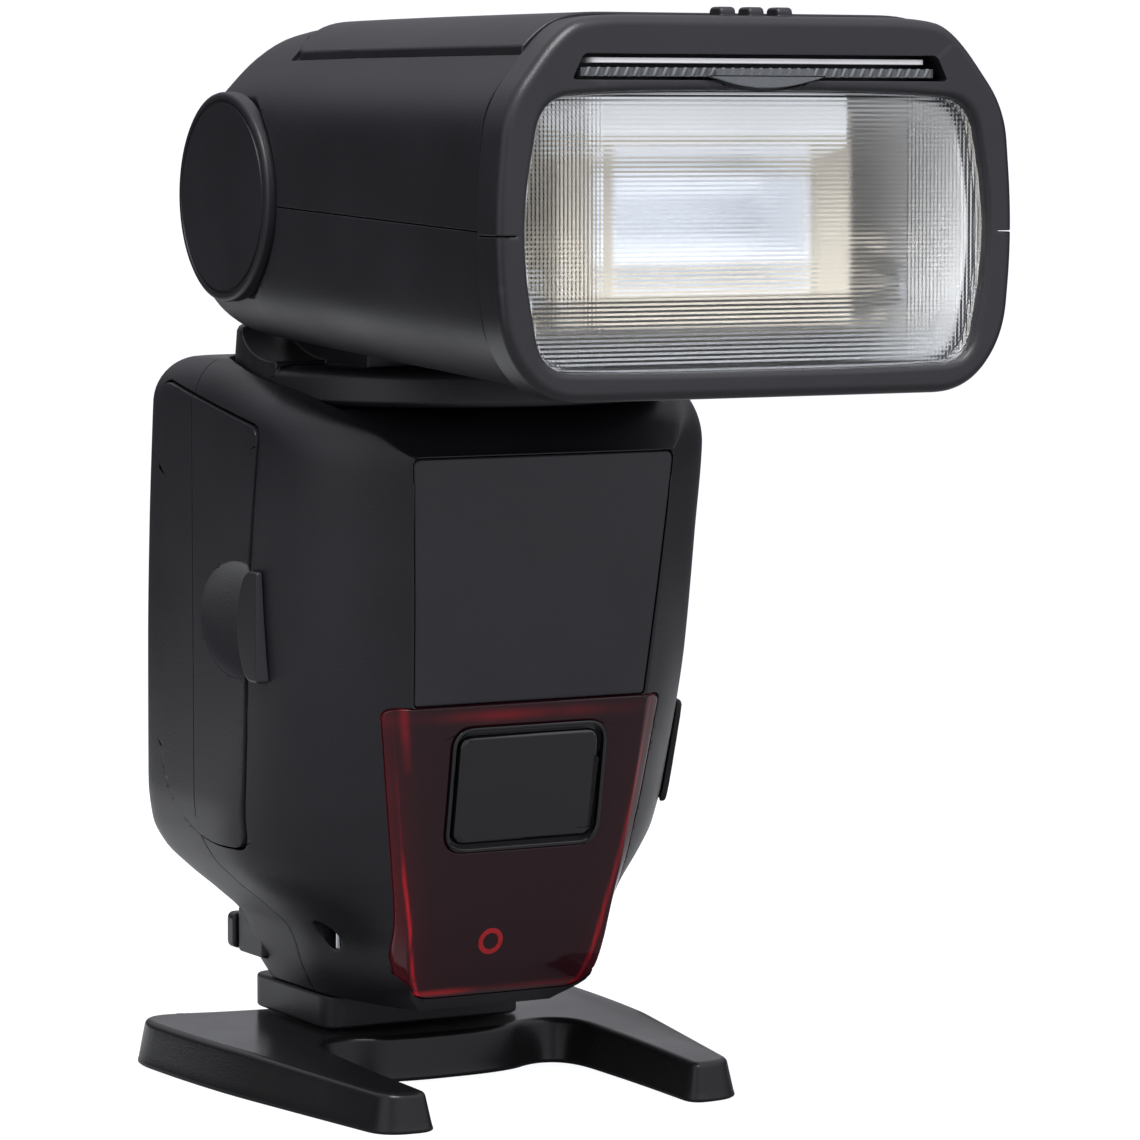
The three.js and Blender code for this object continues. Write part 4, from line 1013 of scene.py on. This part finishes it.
def panel_pieces():
    """The two sheets that slide out of the bezel's slot, with the frosted teeth on the wide panel's edge."""
    low, high = box("catchlight_card")
    card = prism("white_card", "z", outline_of("catchlight_card", "z", 1.5), low[2], high[2], bevel=0.12)
    piece(card, "card", WHITE, "white", "catchlight_card")
    low, _ = box("wide_panel")
    edge, half, back = -110.3, 27.4, -63.9
    outline = [[x, edge + (0.28 if i % 2 else 0.0)] for i, x in enumerate(np.arange(-half, half + 0.1, 0.55))]
    sheet = prism("wide_panel_sheet", "z", np.array(outline + [[half, back], [-half, back]]), 148.75, 149.9)
    tab = prism("tab", "y", rounded(mirrored([[3, 147.3, 3], [10, 149.0, 2]])), low[1], low[1] + 0.7, bevel=0.15)
    join(sheet, tab, prism("tab_root", "y", rectangle(0, 149.3, 15, 1.0, 0.4), low[1] + 0.5, -108))
    piece(sheet, "diffuser", clear_finish(), "clear", "wide_panel", sharp=20)
    teeth = []
    for x in np.arange(-26.9, 25.6, 1.45):
        shape = np.array([[x, 148.8], [x + 0.4, 148.8], [x + 0.95, 149.95], [x + 0.55, 149.95]])
        teeth.append(prism("panel_teeth", "y", shape, edge - 0.1, edge + 0.35, bevel=0.1))
    piece(join(*teeth), "diffuser", frosted_finish(), "clear")


# ---------------------------------------------------------------- neck, pivots


def neck_piece():
    """The yoke: a drum that turns on the body, with a saddle and a column that carry the tilt axle."""
    drum = turned("neck", "z", 0, SWIVEL_Y, [
        [102.3, 31.1], [102.9, 31.7], [103.3, 31.8], [106.2, 31.6], [106.9, 31.3], [107.4, 30.7], [107.7, 29.9],
        [107.8, 29]], 160)
    saddle = turned("saddle", "z", 0, SWIVEL_Y, [[103.3, 31.75], [112.2, 31.1], [112.8, 30.8], [113.1, 30.3],
                                                 [113.2, 29.6]], 160)
    cut(saddle, rod("head_room", "x", *TILT, 23.8, -50, 50, 128),
        block("front_room", -50, 50, -90, TILT[0], 90, 130))
    front, back = TILT[0] - 13.5, TILT[0] + 13.5
    column = rounded([[front, 106.8], [back, 106.8], [back, TILT[1]], [front, TILT[1]]])
    join(drum, saddle, prism("column", "x", column, -22.8, 22.8), rod("barrel", "x", *TILT, 15.6, -22.8, 22.8),
         rod("hub", "z", 0, SWIVEL_Y, 15, 96, 102.4))
    cut(drum, rod("axle_bore", "x", *TILT, 6.3, -40, 40, 48))
    piece(soften(drum, 0.3, 3, 40), "neck", SHELL, "shell", "neck_yoke")


def pivot_disc(name, cad, body, profile, hole=None):
    """A disc on the tilt axle, from a profile of [depth from its face or None for its back, radius]."""
    low, high = box(cad)
    face, back, inwards = (low[0], high[0], 1) if high[0] < 0 else (high[0], low[0], -1)
    places = [[back if depth is None else face + inwards * depth, radius] for depth, radius in profile]
    disc = turned(name, "x", *TILT, places, 160)
    if hole:
        cut(disc, hole)
    piece(disc, body, HEAD_SHELL, "shell", cad, sharp=50)


def pivot_pieces():
    pivot_disc("pivot_cap_disc", "pivot_cap_left", "head", [
        [None, 15.0], [0.55, 15.0], [0.25, 14.9], [0.06, 14.6], [0, 14.2], [0, 13.95], [0.3, 13.85], [0.3, 13.5],
        [0, 13.4], [-0.02, 6], [-0.02, 0.5]])
    pivot_disc("pivot_ring_disc", "pivot_ring_right", "head", [
        [None, 15.0], [0.5, 15.0], [0.15, 14.8], [0, 14.4], [0, 12.7], [0.2, 12.5]],
        rod("button_room", "x", *TILT, 12.2, 30, 50, 160))
    pivot_disc("bounce_button_disc", "bounce_lock_button", "bounce_button", [
        [None, 11.9], [0.6, 11.9], [0.2, 11.6], [0, 11.1], [0.05, 9.5], [0.5, 7], [0.7, 3], [0.75, 0.4]])


# ---------------------------------------------------------------- stand and foot


def stand_piece():
    half = [[9.5, -21.9, 8], [16.6, -17.4, 6], [21, -20.5, 6], [21.2, -40, 8], [20.6, -57.4, 3.5],
            [29.6, -56.8, 4.5], [33, -36, 20], [36.8, -12, 20], [38, 18, 12], [17, 11.6, 12]]
    outline = rounded(mirrored(half), 12)
    top = box("stand_base")[1][2]
    rings = [grown(outline, -0.5), grown(outline, -0.12), outline]
    heights = [0, 0.15, 0.5]
    for z in np.linspace(1.0, top - 0.9, 6):
        rings.append(grown(outline, -1.3 * z / top))
        heights.append(z)
    for t in np.linspace(0.2, 1, 6) * math.pi / 2:
        rings.append(grown(outline, -1.15 - 1.0 * (1 - math.cos(t))))
        heights.append(top - 0.9 + 0.9 * math.sin(t))
    drop = lambda ring, z: np.where(ring[:, 1] < -20, 1.2 * (-20 - ring[:, 1]) / 40 * z / top, 0)
    levels = [np.column_stack([ring, z - drop(ring, z)]) for ring, z in zip(rings, heights)]
    stand = skin("stand_foot", levels)
    shoe_low, shoe_high = box("shoe_foot")
    cut(stand, block("shoe_slot", shoe_low[0] - 0.3, shoe_high[0] + 0.3, -9.7, 30, 2.7, 5.5),
        block("shoe_mouth", -6.5, 6.5, -9.7, 30, 5.2, 12),
        rod("pin_hole", "z", 0, centre("lock_pin")[1], 1.6, 1.2, 5, 32),
        rod("insert_hole", "z", 0, centre("stand_thread_insert")[1], 4.5, -1, 6, 48),
        prism("rear_dip", "y", rounded([[-31, 5.6, 0.6], [-26, 5.6, 0.6], [-25.4, 12], [-31.6, 12]]), 13.4, 30))
    piece(soften(stand, 0.25, 2), "flash_body", STAND, "gloss", "stand_base")


def foot_pieces():
    low, high = box("foot_block")
    wheel = prism("foot_wheel_block", "z", outline_of("foot_block", "z", 3.5, steps=10), low[2], high[2], bevel=0.5)
    for x in np.arange(-12, 12.1, 1.6):
        cut(wheel, block("groove", x, x + 0.5, high[1] - 0.4, high[1] + 2, low[2] + 1, high[2] - 1))
    piece(soften(wheel, 0.1), "flash_body", SHELL, "shell", "foot_block")
    low, high = box("lock_lever")
    lever = prism("lock_lever_bar", "y", outline_of("lock_lever", "y", 1.2), REAR_Y + 0.4, high[1] - 0.5, bevel=0.5)
    for x in (-17, -14.6, -12.2, -9.8):
        shape = rectangle(x + 0.6, (low[2] + high[2]) / 2, 1.2, 4, 0.5)
        join(lever, prism("ridge", "y", shape, high[1] - 1.2, high[1], bevel=0.3, low_bevel=0.0))
    join(lever, block("lever_stem", -13.5, -6.5, 7.5, REAR_Y + 0.6, 17.9, 19.3))
    piece(lever, "lever", TRIM, "gloss", "lock_lever")


# ---------------------------------------------------------------- rear face

PRINT = moulded("pale_print", (0.55, 0.56, 0.57), 0.5, grain=0.00001)


def key_cap(name, shape, bevel, body, cad):
    """A rubber key over the CAD's key."""
    low, high = box(cad)
    cap = prism(name, "y", shape, low[1], high[1], bevel=bevel, low_bevel=0.0, steps=6)
    piece(cap, body, RUBBER, "rubber", cad)


def mark(name, shapes, low, high, body):
    """Pale printed marks."""
    piece(join(*(prism(name, "y", shape, low, high) for shape in shapes)), body, PRINT, "label")


def key_mark(name, shapes, cad, body):
    face = box(cad)[1][1]
    mark(name, shapes, face - 0.05, face + 0.05, body)


def rear_pieces():
    for i, key in enumerate(FUNCTION_KEYS):
        cad, body = "function_button_" + key, "function_key_" + key
        x, z, _, _ = seen(cad, "y")
        key_cap("function_key_cap_" + key, outline_of(cad, "y", 1.4), 0.45, body, cad)
        bars = [rectangle(x + 0.9 * (k - i / 2), z, 0.45, 1.4, 0.1, 2) for k in range(i + 1)]
        key_mark("function_mark_" + key, bars, cad, body)
    for key in ROUND_KEYS:
        x, z, width, _ = seen(key + "_button", "y")
        key_cap(key + "_button_cap", circle(x, z, width / 2, 72), 0.5, key + "_key", key + "_button")
    marks = {
        "mode": lambda x, z: [rectangle(x, z + k, 2.4, 0.35, 0.1, 2) for k in (-0.8, 0, 0.8)],
        "wireless": lambda x, z: [circle(x + k, z, 0.35, 24) for k in (-1.1, 0, 1.1)],
        "test": lambda x, z: [np.array([[x + 0.5, z + 1.7], [x - 0.9, z - 0.1], [x, z - 0.1], [x - 0.5, z - 1.7],
                                        [x + 0.9, z + 0.3], [x, z + 0.3]])],
    }
    for key in ROUND_KEYS:
        x, z, _, _ = seen(key + "_button", "y")
        key_mark(key + "_mark", marks[key](x, z), key + "_button", key + "_key")
    dial_pieces()
    display_pieces()
    switch_piece()


def dial_pieces():
    """The select dial, with a grooved edge, its printed dots and the button in its middle."""
    x, z, width, _ = seen("select_dial", "y")
    low, high = box("select_dial")
    grooves = 40
    t = np.linspace(0, 2 * math.pi, grooves * 8, endpoint=False)
    middle, around = np.array([x, z]), np.stack([np.cos(t), np.sin(t)], axis=1)
    edge = width / 2 - 0.28 * (0.5 + 0.5 * np.cos(grooves * t)) ** 2
    outline = np.stack([x + edge * np.cos(t), z + edge * np.sin(t)], axis=1)
    rings = [lifted(outline, "y", low[1]), lifted(outline, "y", high[1] - 0.7)]
    for share, depth in ((0.985, 0.3), (0.955, 0.05)):
        rings.append(lifted(middle + (outline - middle) * share, "y", high[1] - depth))
    profile = ((10.1, 0), (9.6, 0.05), (9.0, 0.35), (7.5, 0.55), (6.0, 0.5), (5.2, 0.3), (4.75, 0.2), (4.7, 0.4))
    rings += [lifted(middle + around * radius, "y", high[1] - depth) for radius, depth in profile]
    rings.append(lifted(middle + around * 4.7, "y", low[1]))
    piece(skin("select_dial_ring", rings, around=True), "dial", TRIM, "gloss", "select_dial")
    ticks = [circle(x + 7.4 * math.cos(a), z + 7.4 * math.sin(a), 0.32, 16) for a in np.radians([0, 90, 180, 270])]
    mark("dial_marks", ticks, high[1] - 0.65, high[1] - 0.5, "dial")
    low, high = box("set_button")
    cap = turned("set_button_cap", "y", x, z, [
        [low[1], 4.4], [high[1] - 0.6, 4.4], [high[1] - 0.25, 4.25], [high[1] - 0.05, 3.9], [high[1], 3.3],
        [high[1] - 0.1, 0.3]], 96)
    piece(cap, "set_key", RUBBER, "rubber", "set_button", sharp=60)


def display_finish():
    """Grey-green segment display behind glass."""
    made, tree, shader = material("display_face", 0.18, colour=(0.16, 0.19, 0.16))
    bricks = tree.nodes.new("ShaderNodeTexBrick")
    given(bricks, Scale=180, Color1=(0.15, 0.18, 0.15, 1), Color2=(0.19, 0.22, 0.18, 1), Mortar=(0.12, 0.14, 0.12, 1),
          Mortar_Size=0.04)
    turn = tree.nodes.new("ShaderNodeMapping")
    given(turn, Rotation=(math.pi / 2, 0, 0))
    link(tree, object_place(tree), turn.inputs["Vector"])
    link(tree, turn.outputs["Vector"], bricks.inputs["Vector"])
    feed(tree, shader, Base_Color=bricks.outputs["Color"])
    given(shader, Coat_Weight=1.0, Coat_Roughness=0.03)
    return made


def display_pieces():
    x, z, _, _ = seen("lcd_window", "y")
    low, high = box("lcd_window")
    outline = lambda radius, grow, steps=8: outline_of("lcd_window", "y", radius, grow, steps)
    surround = prism("display_surround", "y", outline(2.2, 0, 10), low[1], high[1], bevel=0.35, low_bevel=0.0)
    cut(surround, prism("glass_room", "y", outline(1.2, -2.5), high[1] - 0.45, 40))
    piece(soften(surround, 0.1), "flash_body", GLOSS, "gloss", "lcd_window")
    glass = prism("display_glass", "y", outline(1.1, -2.6), high[1] - 0.5, high[1] - 0.25, bevel=0.08)
    piece(glass, "flash_body", display_finish(), "glass")
    bars = [rectangle(x - 18 + 4.5 * k, z - 9, 3.2, 1.2 + 0.55 * k, 0.2, 2) for k in range(9)]
    bars.append(rectangle(x, z + 10.5, 38, 0.35, 0.1, 2))
    for u, v in ((-14, 4), (-8.5, 4), (2, 4), (7.5, 4), (13, 4)):
        bars += segments(x + u, z + v)
    marks = join(*(prism("display_marks", "y", shape, high[1] - 0.3, high[1] - 0.22) for shape in bars))
    piece(marks, "flash_body", GLOSS, "gloss")


def segments(x, z):
    """The seven bars of one unlit figure."""
    across = [rectangle(x, z + v, 2.6, 0.6, 0.1, 2) for v in (3.3, 0, -3.3)]
    upright = [rectangle(x + u, z + v, 0.6, 2.4, 0.1, 2) for u in (-1.75, 1.75) for v in (1.65, -1.65)]
    return across + upright


def switch_piece():
    z = seen("power_switch", "y")[1]
    low, high = box("power_switch")
    disc = turned("power_switch_disc", "y", 0, z, [
        [low[1], 1.9], [REAR_Y + 0.45, 1.9], [REAR_Y + 0.46, 4.5], [REAR_Y + 1.2, 4.5], [REAR_Y + 1.5, 4.3],
        [REAR_Y + 1.6, 3.9]], 96)
    tab = prism("switch_tab", "y", rectangle(-3.6, z, 7, 2.4, 1.1), REAR_Y + 0.55, high[1], bevel=0.4, low_bevel=0.0)
    piece(join(disc, tab), "switch", TRIM, "gloss", "power_switch")


# ---------------------------------------------------------------- terminal cover


def cover_piece():
    low, _ = box("terminal_cover")
    z = seen("terminal_cover", "x")[1]
    cover = body_layer("terminal_flap", -1.15, -0.25)
    common(cover, prism("flap_shape", "x", outline_of("terminal_cover", "x", 2), 25, 45))
    cut(cover, prism("finger_dip", "x", rectangle(low[1] + 2.2, z, 1.2, 8, 0.5), 25, 45))
    piece(soften(cover, 0.3, 3), "cover", RUBBER, "rubber", "terminal_cover")


# ---------------------------------------------------------------- carried-over CAD nodes


def dress_nodes():
    finishes = (
        (CELL, "battery_cell_1 battery_cell_2 battery_cell_3 battery_cell_4 lcd_module"),
        (SHELL, "battery_tray"), (BOARD, "main_board"), (BRASS, "shoe_contacts stand_thread_insert"),
        (CREAM, "transformer zoom_carriage"), (SILVER, "reflector flash_tube"),
        (GLOSS, "main_capacitor light_baffle wireless_sensor"),
        (STEEL, "battery_contact_low battery_contact_high pc_socket sync_jack shoe_foot lock_pin neck_retainer"),
        (STEEL, "tilt_axle zoom_screw zoom_motor zoom_guide_rod"),
    )
    for finish, names in finishes:
        for name in names.split():
            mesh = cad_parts[name].data
            mesh.materials.clear()
            mesh.materials.append(finish)


# ---------------------------------------------------------------- studio


def for_camera(tree, others, shown):
    """One value for the camera's own rays, and another for every other ray."""
    made = tree.nodes.new("ShaderNodeMix")
    link(tree, tree.nodes.new("ShaderNodeLightPath").outputs["Is Camera Ray"], made.inputs[0])
    link(tree, others, made.inputs[2])
    made.inputs[3].default_value = shown
    return made.outputs[0]


def studio():
    """A round pale floor: white to the camera, and for other rays dim in front of the flash and bright behind it."""
    n, radii = 96, (20, 90, 200, 340)
    turns = np.linspace(0, 2 * math.pi, n, endpoint=False)
    points = np.array([[radius * math.cos(t), radius * math.sin(t), 0] for radius in radii for t in turns])
    faces = [list(range(n))]
    for i in range(0, n * (len(radii) - 1), n):
        faces += [[i + j, i + (j + 1) % n, i + n + (j + 1) % n, i + n + j] for j in range(n)]
    mesh = bpy.data.meshes.new("studio_floor")
    mesh.from_pydata(((points + ORIGIN) / 1000).tolist(), [], faces)
    floor = bpy.data.objects.new("studio_floor", mesh)
    bpy.context.scene.collection.objects.link(floor)
    made, tree, shader = material("pale_floor", 0.8, colour=(0.2, 0.202, 0.207))
    feed(tree, shader, Roughness=spread(tree, noise(tree, 3, 2), 0.78, 0.82))
    given(shader, Emission_Color=(0.97, 0.985, 1, 1))
    place = tree.nodes.new("ShaderNodeSeparateXYZ")
    link(tree, object_place(tree), place.inputs[0])
    behind = mapped(tree, place.outputs["Y"], (-0.03, 0.12), (0.03, 0.75), soft=True)
    feed(tree, shader, Emission_Strength=for_camera(tree, behind, 0.95))
    mesh.materials.append(made)
    floor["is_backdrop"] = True


def lamp(name, place, aim, size, power):
    light = bpy.data.lights.new(name, "AREA")
    light.shape = "RECTANGLE"
    light.size = light.size_y = size
    light.energy = power
    obj = bpy.data.objects.new(name, light)
    obj.location = Vector(place)
    obj.rotation_euler = (Vector(aim) - Vector(place)).to_track_quat("-Z", "Y").to_euler()
    bpy.context.scene.collection.objects.link(obj)


def sky_share(tree, direction, low, high, power):
    """How much light comes from around a direction of the room."""
    dot = tree.nodes.new("ShaderNodeVectorMath")
    dot.operation = "DOT_PRODUCT"
    link(tree, tree.nodes.new("ShaderNodeTexCoord").outputs["Generated"], dot.inputs[0])
    dot.inputs[1].default_value = Vector(direction).normalized()
    return mapped(tree, dot.outputs["Value"], (low, high), (0, power), soft=True)


def room():
    """Soft light from the front right, the left, above and behind, dim elsewhere; to the camera it is all white."""
    world = bpy.data.worlds.new("studio_room")
    world.use_nodes = True
    tree = world.node_tree
    background = tree.nodes["Background"]
    given(background, Color=(0.93, 0.935, 1, 1))
    everywhere = tree.nodes.new("ShaderNodeValue").outputs[0]
    everywhere.default_value = 0.062
    total = everywhere
    for share in (((0.34, -0.92, 0.17), 0.3, 0.95, 0.76), ((-0.92, -0.38, 0.1), 0.84, 0.985, 0.9),
                  ((-0.05, 0.87, 0.47), 0.9, 0.99, 0.12), ((0.48, 0.87, 0), 0.95, 0.995, 0.7),
                  ((0, 0, 1), 0.05, 1, 1.0)):
        total = combined(tree, "ADD", sky_share(tree, *share), total).outputs[0]
    link(tree, for_camera(tree, total, 1.12), background.inputs["Strength"])
    bpy.context.scene.world = world


def lights():
    low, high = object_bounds()
    middle = (low + high) / 2
    lamp("key", middle + Vector((-0.25, -0.56, 0.95)), middle, 0.55, 11.0)
    room()


def camera():
    """The photograph's viewpoint: direction, distance and lens found by fitting the CAD model to it."""
    azimuth, elevation, distance = math.radians(-28.945), math.radians(5.045), 731.79
    aim = np.array([8.884, -41.801, 77.671])
    level = math.cos(elevation)
    back = np.array([math.sin(azimuth) * level, -math.cos(azimuth) * level, math.sin(elevation)])
    data = bpy.data.cameras.new("camera")
    data.sensor_width = 36
    data.lens = 158.06
    data.clip_end = 50
    obj = bpy.data.objects.new("camera", data)
    obj.location = Vector((aim + back * distance + ORIGIN) / 1000)
    obj.rotation_euler = Vector(-back).to_track_quat("-Z", "Y").to_euler()
    bpy.context.scene.collection.objects.link(obj)
    bpy.context.scene.camera = obj


bpy.context.scene.view_settings.view_transform = "Standard"

body_pieces()
assist_piece()
sensor_ring()
door_pieces()
head_pieces()
bezel_piece()
lens_piece()
lens_box()
inner_pieces()
panel_pieces()
neck_piece()
pivot_pieces()
stand_piece()
foot_pieces()
rear_pieces()
cover_piece()
dress_nodes()
studio()
lights()
camera()
